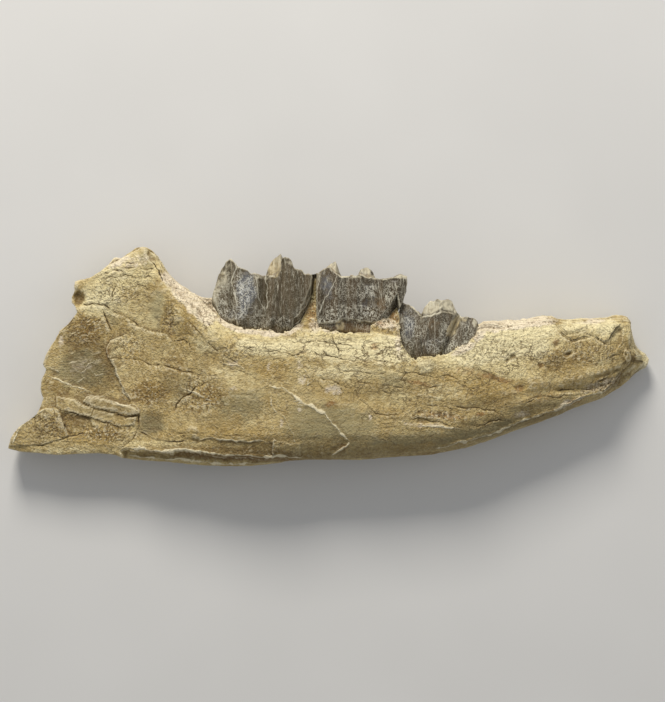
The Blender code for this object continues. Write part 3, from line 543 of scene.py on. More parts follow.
# Patches of stain and texture: x, y, half length, half height, turn, strength
stains = {
    "brown": [
        (19.8, 13.4, 1.6, 2.2, 25, 0.8), (-5, 13, 1, 4, 0, 0.5), (-76.1, 6.7, 7.5, 7.5, 0, 0.5),
        (-49.1, 12, 2.5, 7.5, 0, 0.35), (-68.9, -4.8, 1.9, 7.5, 28, 0.55),
        (-55.9, -11.6, 6.2, 4, 0, 0.75), (-47.8, -1.7, 5, 2.8, 0, 0.4), (-36, -11, 4.7, 5, 0, 0.45),
        (-19.3, 2, 7.5, 3.4, 0, 0.15), (-77.6, -19.7, 4, 2.5, 0, 0.6), (-83.9, -11, 5, 3.7, -20, 0.45),
        (-31.1, -29.6, 34.2, 2.5, -3, 0.6), (0, -15.3, 2.8, 1.6, 20, 0.5),
        (3.1, -28.1, 2.8, 1.6, 0, 0.5), (52.8, -11.9, 10.6, 2.8, 10, 0.3),
        (46, -17.5, 1.9, 1.2, 0, 0.5), (71.4, -1.7, 10.6, 3.1, 8, 0.45), (-78, 18.2, 1.9, 2.2, 0, 1),
        (-69.6, -23.4, 6.8, 2.5, 0, 0.55), (-67.7, 20.1, 6.8, 4.3, 0, 0.12),
        (-43.5, 8.3, 3.1, 4.3, -30, 0.35), (-28, -5.7, 6.2, 2.5, -20, 0.3),
        (31.1, -30.6, 18.6, 1.2, 4, 0.5),
    ],
    "green": [
        (30, -2.6, 2.8, 2, 0, 0.7), (-56, 31, 3, 2.4, 0, 0.5), (-77, -4.2, 8.1, 6.2, 0, 0.8),
        (-53.4, 14.5, 2.5, 7.5, -8, 0.5), (-66.8, 11.4, 2.5, 2.8, 0, 0.4),
        (-55.9, 29.4, 3.1, 2.8, 0, 0.6), (-46.6, -11, 5.6, 4, -30, 0.35),
        (-26.1, -14.1, 8.1, 5.6, 0, 0.6), (-5.6, -20.3, 10.6, 6.2, 0, 0.75),
        (6.8, -20.3, 8.1, 6.2, 0, 0.65), (18, -6.6, 7.5, 3.1, -5, 0.5),
        (31.1, -24.7, 21.7, 2.5, 3, 0.6), (49.7, -22.2, 12.4, 1.9, 12, 0.5),
        (-55.3, -20.9, 4.3, 3.4, 0, 0.9), (97.4, 0.4, 2.5, 2.0, -20, 0.9), (74.8, 7.8, 6, 1.5, 12, 0.5),
        (80.7, -1.7, 4.3, 3.1, 0, 0.35), (68.3, -0.4, 6.2, 2.2, 8, 0.4), (-37.9, -17.2, 6.2, 5, 0, 0.3),
        (-68.9, -18.1, 3.1, 1.6, 0, 0.35), (55.9, -19.7, 8.1, 1.9, 15, 0.4),
    ],
    "cream": [
        (-9.3, 3.9, 9.3, 2.2, 0, 0.6), (4.7, 2, 10.6, 3.7, 0, 1), (18.6, 2, 7.5, 4.7, 0, 0.9),
        (29.2, -2.3, 3.7, 2.8, 0, 0.5), (43.5, 0.5, 8.1, 3.7, 0, 0.9), (52.8, 3.6, 9.3, 4.3, 0, 0.85),
        (62.1, 3.6, 6.8, 3.7, 0, 0.7), (-23.3, 3.6, 8.1, 2.5, -15, 0.45),
        (-67.7, 25.7, 8.1, 2.5, 0, 0.55), (-71, 17.5, 6, 4.5, 0, 0.6), (-20, 2.4, 10, 2.6, -10, 0.5),
        (-38.8, 3.6, 3.1, 2.5, 0, 0.45), (-32.6, -4.2, 6.8, 2.2, -15, 0.35),
        (-83.9, -29.3, 12.4, 1.2, 0, 0.4), (-42.5, -22.5, 2.5, 2.5, 0, 0.2),
        (93.2, -4.8, 3.7, 1.6, 20, 0.3), (76.1, 9.8, 6.2, 2.5, 0, 0.6), (85.4, 8.9, 4.7, 2.5, 0, 0.75),
        (3.1, -4.8, 12.4, 2.8, 0, 0.45), (34.2, -11, 9.3, 3.1, 0, 0.35), (59, 8.3, 12.4, 2.5, 0, 0.8),
        (-61.5, 3.6, 3.7, 4.3, 0, 0.3), (-65.2, -1.1, 2.5, 6.2, 30, 0.3),
    ],
    "pink": [
        (-41, 17.3, 5, 2.4, -32, 1), (-46.6, 22.4, 4, 2, -52, 0.9), (-36.6, 15.6, 2, 3, 0, 1),
        (1, -10.1, 3.6, 1.5, -5, 0.5), (-8.6, -7.1, 2, 1.6, 0, 0.45), (-9.3, -2, 1.2, 2.6, 0, 0.35),
        (-18.6, -2.7, 1, 1.8, 0, 0.4), (-8.6, -16, 0.9, 0.9, 0, 0.5), (-14.9, -20.4, 1, 1.5, 0, 0.4),
        (12.5, -18.6, 0.8, 0.8, 0, 0.6), (-29.3, -2, 2, 1.4, 0, 0.35), (-29.3, -10, 1.8, 1, -20, 0.3),
        (-31, 10, 4, 1.3, -30, 0.8), (-25.5, 8.2, 4, 1, -6, 0.8), (-18.6, 7.4, 5, 1.1, -5, 0.75),
        (-11, 8.6, 3, 1.4, 30, 0.8), (-5, 9.6, 2, 2.6, 0, 0.7), (0, 7.8, 4, 0.9, 0, 0.5),
        (20.8, 4, 1.1, 6, 0, 0.5), (41, 2.6, 5, 1.4, 30, 0.6), (-50.3, 23.8, 2.5, 1.9, -50, 0.9),
        (-46, 18.8, 3.7, 1.9, -40, 1), (-41, 14.5, 4, 2.2, -38, 1), (-37.3, 12, 2.8, 2.5, -30, 1),
        (52.8, 9.8, 9.9, 2.2, 2, 1), (63.7, 11.1, 6.2, 1.9, 0, 0.9), (45.3, 7, 2.2, 1.9, 0, 1),
        (16.8, 10.7, 4, 2.2, 0, 0.8), (-59, 30, 5, 2.5, 0, 0.4), (-63.7, 27.5, 5, 1.9, 20, 0.3),
        (81.4, 11.1, 4.3, 1.2, 0, 0.6), (41, 3.6, 3.1, 1.9, 0, 0.5), (-65.8, 29.4, 3.7, 1.6, 25, 0.5),
        (59, -17.5, 3.1, 1.2, 15, 0.5), (72, -14.7, 4.3, 1.2, 25, 0.5),
        (83.9, -8.5, 7.5, 1.9, 20, 0.45), (28, -20.9, 8.1, 0.9, -4, 0.4),
        (-77, -2.9, 4.3, 3.4, 0, 0.35), (-83.2, 5.2, 0.9, 1.6, 0, 0.8),
    ],
    "rust": [
        (34, -18.2, 8, 1.1, -6, 0.6), (-31, -31.2, 30, 1.1, -2, 0.4), (-4.8, 15, 1.2, 3.4, 0, 0.6),
        (19.6, 12.6, 1.6, 2.4, 30, 0.7), (15, 10.4, 2.6, 1.2, 0, 0.5), (-37, 15.4, 1.4, 2, 0, 0.15),
        (-6.5, 13.9, 1.2, 4, 8, 0.5), (13.7, 3, 1.6, 1.2, 0, 0.7), (43.8, 7, 1.9, 1.6, 0, 0.6),
        (41, -4.2, 3.7, 1.6, 0, 0.4), (69.6, 4.2, 0.9, 0.8, 0, 0.9), (64.6, -2.6, 0.8, 0.8, 0, 0.8),
        (46, -17.5, 1.6, 0.9, 0, 0.8), (76, -13.6, 4, 0.9, 20, 0.8), (58.1, -9.4, 1.6, 1.2, 0, 0.9),
        (26.4, -7.9, 4.3, 0.9, -8, 0.7), (50.3, -6.6, 6.8, 0.9, -8, 0.7),
        (65.2, -12.5, 9.3, 1.6, 5, 0.3), (-68.9, 2, 1.2, 3.1, 0, 0.5), (-9.3, 2, 4.3, 1.9, 0, 0.25),
        (-49.1, 9.8, 1.2, 5, 0, 0.4), (0, -14.7, 2.5, 0.9, 15, 0.6), (4.3, -27.5, 2.2, 0.9, 0, 0.5),
        (97.8, 5.2, 1.6, 2.5, 0, 0.4), (-75.2, 6.1, 3.7, 2.5, 0, 0.3),
    ],
    "pitted": [
        (34, -18.4, 9, 1.6, -6, 0.9), (-87, -21, 7, 5, 20, 0.7), (-5, 13, 2, 6, 0, 0.7),
        (17.5, 11, 5, 3.4, 0, 0.8), (-37.5, 13, 3, 5, 0, 0.6), (-69.6, -23.4, 7.5, 2.8, 0, 1),
        (-75.2, 8.3, 6.8, 5, 0, 0.8), (-65.8, 20.1, 7.5, 4.3, 0, 0.7), (-83.9, -21.2, 5.6, 3.7, 0, 0.5),
        (-38.8, -11.9, 6.8, 7.5, 0, 0.7), (-62.1, 3.6, 4.3, 4.3, 0, 0.6), (59, 1.4, 10.6, 3.1, 0, 0.35),
        (80.7, 2, 6.8, 4.3, 0, 0.7), (-49.1, 11.4, 3.1, 5.6, 0, 0.7), (-55.9, -11.9, 6.8, 3.7, 0, 0.6),
        (68.3, 0.5, 5, 2.5, 0, 0.6), (46.6, 2, 9.3, 4.3, 0, 0.25), (21.7, 1.4, 6.2, 4.3, 0, 0.6),
        (83.9, -8.8, 8.1, 2.2, 20, 0.7), (-28, 1.4, 6.2, 3.1, 0, 0.5),
    ],
    "crazed": [
        (60, -3, 13, 4.5, 6, 0.8), (40, -7, 12, 5, 0, 0.6), (30, -15, 12, 3.4, -4, 0.5),
        (4.7, 1.4, 13, 5, 0, 1), (18.6, 1.4, 8.1, 4.3, 0, 0.9), (-9.3, 3.3, 7.5, 2.5, 0, 0.7),
        (6.2, -8.8, 13.7, 4.3, 0, 0.7), (24.8, -9.8, 9.3, 4.3, 0, 0.5), (43.5, -8.8, 9.3, 5, 0, 0.6),
        (-23.3, 1.4, 8.1, 3.7, 0, 0.35), (-32.6, 0.5, 6.2, 3.7, 0, 0.4),
        (-62.1, 23.8, 9.3, 3.1, 0, 0.4), (17.1, -17.2, 9.3, 3.1, 0, 0.5),
    ],
    "smooth": [
        (-30, -6, 12, 5, -20, 0.5), (-36, -20, 16, 4.5, 0, 0.5), (10, -12, 16, 4, -6, 0.5),
        (50, -12, 14, 4, 8, 0.3), (-5, -12, 10, 5, -30, 0.4), (97, 0.5, 3, 3, 0, 0.6),
        (-53.4, 14.5, 2.8, 7.5, -8, 1), (-5.6, -20.3, 10.6, 6.2, 0, 1), (6.8, -20.3, 8.1, 6.2, 0, 0.9),
        (-26.1, -14.1, 6.8, 4.3, 0, 0.6), (31.1, -25.3, 21.7, 2.2, 3, 0.7),
        (-55.3, -20.9, 4, 3.1, 0, 0.8), (-77, -4.8, 6.8, 5, 0, 0.6), (18, -6.6, 6.8, 2.5, 0, 0.5),
        (-77.6, -19.7, 3.4, 2.2, 0, 0.8), (-69.5, -15.2, 9, 2.6, -8, 0.55), (-68, -19, 6, 1.6, -5, 0.5),
    ],
}

# Broad patches of golden bone, and of lighter and darker places that are partly the bone's own tone and
# partly painted light and painted shade, in the same form
tonesAndPaintedLight = {
    "gold": [
        (-44, 8.5, 5, 8, 38, 0.8), (-26, 2.6, 13, 4.4, -14, 0.6), (-49, 12, 3, 7, 0, 0.8),
        (-55, -11.5, 7, 4.5, 0, 0.8), (-75.5, 7.5, 6.5, 6, 0, 0.7), (-66, 19.5, 8, 5, 0, 0.2),
        (-84, -22, 6, 5, 30, 0.5), (-74, -24, 9, 3.4, 0, 0.7), (-20, -1, 11, 4.5, -12, 0.7),
        (-38, -12, 6, 6, 0, 0.5), (48, -10, 15, 4.5, 5, 0.6), (72, -2, 12, 4, 8, 0.6),
        (20, -14, 15, 4, -6, 0.2), (-34, -24, 26, 3, 0, 0.5), (-62, 1, 5, 7, 20, 0.5),
        (16, 9, 4, 3, 0, 0.5), (-78.5, 18, 2.4, 3, 0, 0.9), (62, -4, 9, 4, 0, 0.1),
        (35, -6, 9, 3, 0, 0.4),
    ],
    # Partly darker bone and partly painted shade: the low body, the band along the low edge and the hollow
    # of the back plate are darkened where their faces turn away from the light
    "shade": [
        (-22, -26.5, 16, 3, -2, 0.5), (44, -20, 8, 3, 10, 0.35), (-73, -3.5, 9.5, 8.5, -15, 0.75),
        (-56, -21, 5.5, 4.5, 0, 0.7), (-46, -8, 8, 5, -25, 0.55), (-79, 5, 7, 6, 40, 0.4),
        (5, -27.5, 42, 4, 2, 0.75), (56, -19.5, 26, 3.4, 15, 0.7), (-36, -31.3, 30, 1.1, -2, 0.55),
        (-80, -20, 9, 5, 10, 0.5), (-30, -17, 12, 7, 0, 0.3), (-88, -23.5, 6, 4, 20, 0.35),
        (-70, -15.4, 10, 3.2, -10, 1), (-53, -12, 6, 4, 0, 0.35), (-39, -3, 5, 3, -20, 0.4),
        (72, -1.5, 9, 3, 8, 0.4), (86, -7.5, 8, 2.4, 18, 0.6), (26, -10, 16, 3.4, -5, 0.3),
        (51, -14.5, 12, 2.2, 5, 0.5), (90, -7.6, 8, 2.2, 22, 0.4), (89, 7, 2.4, 3.4, -25, 0.4),
    ],
    # Partly lighter bone and partly painted light, as at the front tip, where patches brighten facets that
    # lie in shadow
    "light": [
        (-41, 17, 5, 3, -32, 0.8), (-24, 2.6, 9, 3, -12, 1), (-72, 17, 6, 5, 0, 0.5),
        (-62, 26.5, 11, 6, 12, 0.85), (-24, 3.4, 14, 5, -10, 1), (-71, 18, 9, 6, 0, 0.6),
        (4, 4, 17, 4.5, 0, 1), (20, 3, 8, 5, 0, 0.7), (56, 5, 17, 5.5, 2, 0.85), (84, 8, 10, 4, 0, 0.6),
        (-60, 14, 6, 4, 0, 0.4), (58, -4, 10, 4, 0, 0.6), (20, -13, 9, 4, 0, 0.35),
        (-48, 11, 3, 6, 0, 0.6), (-53.2, 14.5, 2.4, 6.5, -8, 0.6), (-34, 8, 8, 4, -38, 0.6),
        (-41, 4.5, 5, 3.4, -30, 0.5), (40, -1, 12, 4.5, 0, 0.6), (-64, 4, 4, 4, 0, 0.4),
        (-26, -7, 11, 4.5, -24, 0.35), (10, -5, 14, 3.4, 0, 0.4), (96, 4, 4, 5, 0, 0.5),
        (95.4, 7, 1.6, 6, 12, 0.8), (97.6, 0.2, 2.4, 2, -20, 0.5), (-52, -27.2, 16, 1.3, 0, 0.5),
    ],
}


def readSection(key, x):
    offsets = bone["sectionBlend"] * np.array((-1, -0.5, 0, 0.5, 1))
    columns = bone["sections"]
    return sum(np.interp(x + offset, columns["x"], columns[key]) for offset in offsets) / len(offsets)


def shareOfSection(x, y):
    low = np.interp(x, *zip(*bone["edges"]["low"]))
    high = np.interp(x, *zip(*bone["sectionHighLine"]))
    return np.clip((y - low) / (high - low), 0, 1)


def highLine(x):
    # The high edge of the bone, ragged where it meets the teeth
    reach = 0.35 + 0.65 * smoothStep(-38, -34, x) * smoothStep(50, 46, x)
    ragged = layeredNoise(pointsFrom(x, 0, 0), "highLine")
    return np.interp(x, *zip(*bone["edges"]["high"])) + ragged * reach


def broadRelief(x, y):
    # Shapes of the outer face that are wider than a few millimetres
    distance, place = distanceToPath(bone["ridgePath"], x, y, 14)
    heights = bone["ridgeHeights"]
    relief = np.interp(place * (len(heights) - 1), range(len(heights)), heights)
    relief = relief * hump(distance, bone["ridgeHalfWidth"])
    middleX, middleY, halfLength, halfHeight, depth = bone["hollow"]
    relief -= depth * hump(np.hypot((x - middleX) / halfLength, (y - middleY) / halfHeight), 1)
    relief += layeredNoise(pointsFrom(x, y, 3), "outerFace")
    for *oval, height in bone["bumps"]:
        along, across = placeInOval(oval, x, y)
        relief += height * np.exp(-(along ** 2 + across ** 2) ** 1.5)
    return relief


def stepRelief(x, y):
    # Plates, ledges, cracks and pale lines of the outer face
    wx, wy = wobble(x, y)
    relief = np.zeros_like(x)
    plateX, plateY = 0.75 * x + 0.25 * wx, 0.75 * y + 0.25 * wy  # plates break straighter than cracks
    for height, edge, outline in bone["plates"]:
        relief += height * smoothStep(-edge, edge, distanceInside(outline, plateX, plateY))
    distance, _ = distanceToPath(bone["ledgePath"], wx, wy, 5)
    ends = smoothStep(-65.5, -63.5, wx) * smoothStep(-3, -9, wx)
    relief -= bone["ledgeDepth"] * smoothStep(0.1, -0.5, distance) * ends
    distance, place = distanceToPath(bone["rimPath"], wx, wy, 7)
    ends = smoothStep(6.5, 3.5, np.abs(distance)) * smoothStep(1, 0.75, place)
    relief -= bone["rimDepth"] * smoothStep(-0.2, 1.6, distance) * ends
    faint = brokenUp(wx, wy)
    kinds = (("cracks", -bone["crackShare"], 1, faint), ("paleLines", 1, bone["paleLineSpread"], 1))
    for kind, share, spread, fade in kinds:
        for width, height, lift, path in bone[kind]:
            distance, place = distanceToPath(path, wx, wy)
            ends = smoothStep(0, 0.12, place) * smoothStep(1, 0.88, place)
            relief += share * height * hump(distance, width * spread) * (0.35 + 0.65 * ends) * fade
            step = lift * 0.5 * np.sign(distance) * smoothStep(0, width, np.abs(distance))
            relief += step * hump(distance, bone["liftReach"]) * ends
    return relief


def innerRelief(x, y):
    distance, _ = distanceToPath(bone["beadPath"], x, y, 12)
    relief = -bone["beadHeight"] * hump(distance, bone["beadHalfWidth"])
    for middleX, middleY, halfLength, halfHeight, height in bone["restingSpots"]:
        relief -= height * hump(np.hypot((x - middleX) / halfLength, (y - middleY) / halfHeight), 1)
    return layeredNoise(pointsFrom(x, y, 70), "innerFace", relief)


def boneFaces(x, y):
    # Heights of the inner and outer face of the bone
    share = shareOfSection(x, y)
    squareness = readSection("squareness", x)
    swell = (1 - np.abs(2 * share - 1) ** squareness) ** (1 / squareness)
    edge = (1 - share) * readSection("lowEdge", x) + share * readSection("highEdge", x)
    between = (x > bone["septumEnds"][0]) & (x < bone["septumEnds"][1])
    edge = edge - np.where(between, bone["septumTaper"] * np.maximum(y - bone["septumStart"], 0), 0)
    middle = readSection("middle", x)
    outer = middle + edge + (readSection("outer", x) - middle - edge) * swell + broadRelief(x, y)
    inner = middle - edge + (readSection("inner", x) - middle + edge) * swell + innerRelief(x, y)
    return inner, outer + stepRelief(x, y)


def boneColumns(samples=4000):
    # Shares of the length, closer together where the high edge is steep
    xs, ys = np.array(bone["edges"]["high"], float).T
    x = np.linspace(xs[0], xs[-1], samples)
    rise = np.gradient(np.interp(x, xs, ys), x)
    length = np.concatenate(([0], np.cumsum(np.hypot(1, bone["steepWeight"] * rise)[1:])))
    return np.linspace(0, 1, samples), length / length[-1]


def placeBone(shares):
    # Shares of length, height and thickness to points in millimetres
    plain, spread = boneColumns()
    u = np.interp(shares[:, 0], spread, plain)
    v = np.interp(shares[:, 1], np.linspace(0, 1, len(bone["rows"])), bone["rows"])
    w = shares[:, 2]
    edges = dict(bone["edges"], high=bone["sectionHighLine"])
    point = pointInOutline(edges, u, v)
    sectionLine = pointByX(bone["sectionHighLine"], u)
    detail = highLine(sectionLine[:, 0]) - sectionLine[:, 1]
    x, y = point[:, 0], point[:, 1] + detail * v ** bone["highEdgeFade"]
    inner, outer = boneFaces(x, y)
    z = inner + w * (outer - inner)
    slantStart = bone["frontTip"] - bone["frontReach"]
    slant = bone["frontSlant"] * w * w * (1 - v) * smoothStep(slantStart, bone["frontTip"], x)
    turn = (2 * w - 1) ** 2
    fall = bone["highRound"] * turn * v ** bone["highRoundPower"]
    fall = fall * smoothStep(*bone["highRoundReach"], x)
    rise = bone["lowRound"] * turn * (1 - v) ** bone["lowRoundPower"]
    rise = rise * smoothStep(*bone["lowRoundReach"], x)
    return np.stack((x - slant, y - fall + rise, z), -1)


def boneLattice():
    # The bone as a box of shares, with finer cells off its inner face and near lines and plates
    points, faces = boxLattice(bone["cells"])
    mesh = bpy.data.meshes.new("jaw_bone_surface")
    mesh.from_pydata(points.tolist(), [], faces.tolist())
    innerSide, outerSide = 0.001, 0.999
    refine(mesh, faceCentres(mesh)[:, 2] > innerSide)

    centres = faceCentres(mesh)
    places = placeBone(centres)
    x, y = wobble(places[:, 0], places[:, 1])
    crackLine, _ = lineFields(bone["cracks"], x, y)
    paleLine, _ = lineFields(bone["paleLines"], x, y)
    ledge, _ = distanceToPath(bone["ledgePath"], x, y)
    plateEdge = np.full(x.shape, farAway)
    for _, _, outline in bone["plates"]:
        plateEdge = np.minimum(plateEdge, np.abs(distanceInside(outline, x, y)))
    distances = np.abs((crackLine, paleLine, plateEdge, ledge))
    near = np.any(distances < np.array(bone["finerReach"])[:, None], axis=0)
    refine(mesh, near & (centres[:, 2] > outerSide))
    return mesh


def boneGrain(points, pitted, smooth, broken):
    # Heights of the grain, the torn layers, the streaks and the pits
    tornGrain, tornLayers = bone["tornHeights"]
    grain = bone["grainHeight"] * roughNoise(points, 2.2, 41, 3) * (1 - 0.7 * smooth)
    grain = grain + tornGrain * broken * roughNoise(points, 2.6, 45, 3)
    grain += tornLayers * broken * roughNoise(stretched(points, 6, 6, 1.3), 1, 48, 2)
    plainPits, patchPits = bone["pitDepths"]
    pits = smoothStep(0.25, 0.75, softNoise(points, 0.9, 51))
    pits = pits * (plainPits + patchPits * pitted) * (1 - smooth)
    streaks = bone["streakHeight"] * softNoise(stretched(points, 4, 0.8, 1), 1, 61)
    return grain + streaks - pits


def paintBone(mesh, points, masks, outside, broken, x, y):
    # Stores what the material reads; the inner side has stains of its own
    under = roughNoise(points, 9, 71, 2)
    tints = [masks[name] * outside for name in ("brown", "green", "cream", "pink")]
    tints[0] = tints[0] + (1 - outside) * smoothStep(0, 0.5, under)
    tints[1] = tints[1] + (1 - outside) * smoothStep(-0.1, -0.5, under)
    tints[2] = tints[2] + (1 - outside) * 0.6 * broken
    storeColours(mesh, "stains", tints)
    crazed = masks["crazed"] * outside + (1 - outside) * 0.5
    rust, smooth = masks["rust"] * outside, masks["smooth"] * outside
    storeColours(mesh, "textures", (masks["pitted"], crazed, rust, smooth))
    storeColours(mesh, "tonesAndPaintedLight", [masks[name] * outside for name in ("gold", "shade", "light")] + [outside])
    # Lines are drawn from above, so they end where the face turns down
    facing = outside * smoothStep(0.1, 0.4, vertexNormals(mesh)[:, 2])
    crackLine, crackStrength = lineFields(bone["cracks"], x, y)
    paleLine, paleStrength = lineFields(bone["paleLines"], x, y)
    storeColours(mesh, "lines", (crackLine, crackStrength * facing, paleLine, paleStrength * facing))
    storeBulge(mesh, points, bone["bulgeHeight"])


def makeBone():
    mesh = boneLattice()
    shares = readPoints(mesh)
    points = placeBone(shares)
    writePoints(mesh, points)
    u, v, w = shares.T
    x, y = wobble(points[:, 0], points[:, 1])
    masks = {name: patchMask(patches, x, y) for name, patches in {**stains, **tonesAndPaintedLight}.items()}
    broken = smoothStep(0.03, 0, u) + smoothStep(0.97, 1, u)
    broken = np.clip(broken + smoothStep(0.97, 1, v) * (np.abs(2 * w - 1) < 0.98), 0, 1)
    grain = boneGrain(points, masks["pitted"], masks["smooth"], broken)
    points = insideBox(points + vertexNormals(mesh) * grain[:, None])
    writePoints(mesh, points)
    paintBone(mesh, points, masks, smoothStep(0.3, 0.75, w), broken, x, y)
    writePoints(mesh, points * mm)
    mesh.shade_smooth()
    return newObject("jaw_bone_fossil", mesh)


jawBone = makeBone()
print("bone:", len(jawBone.data.polygons), "faces")


# The teeth

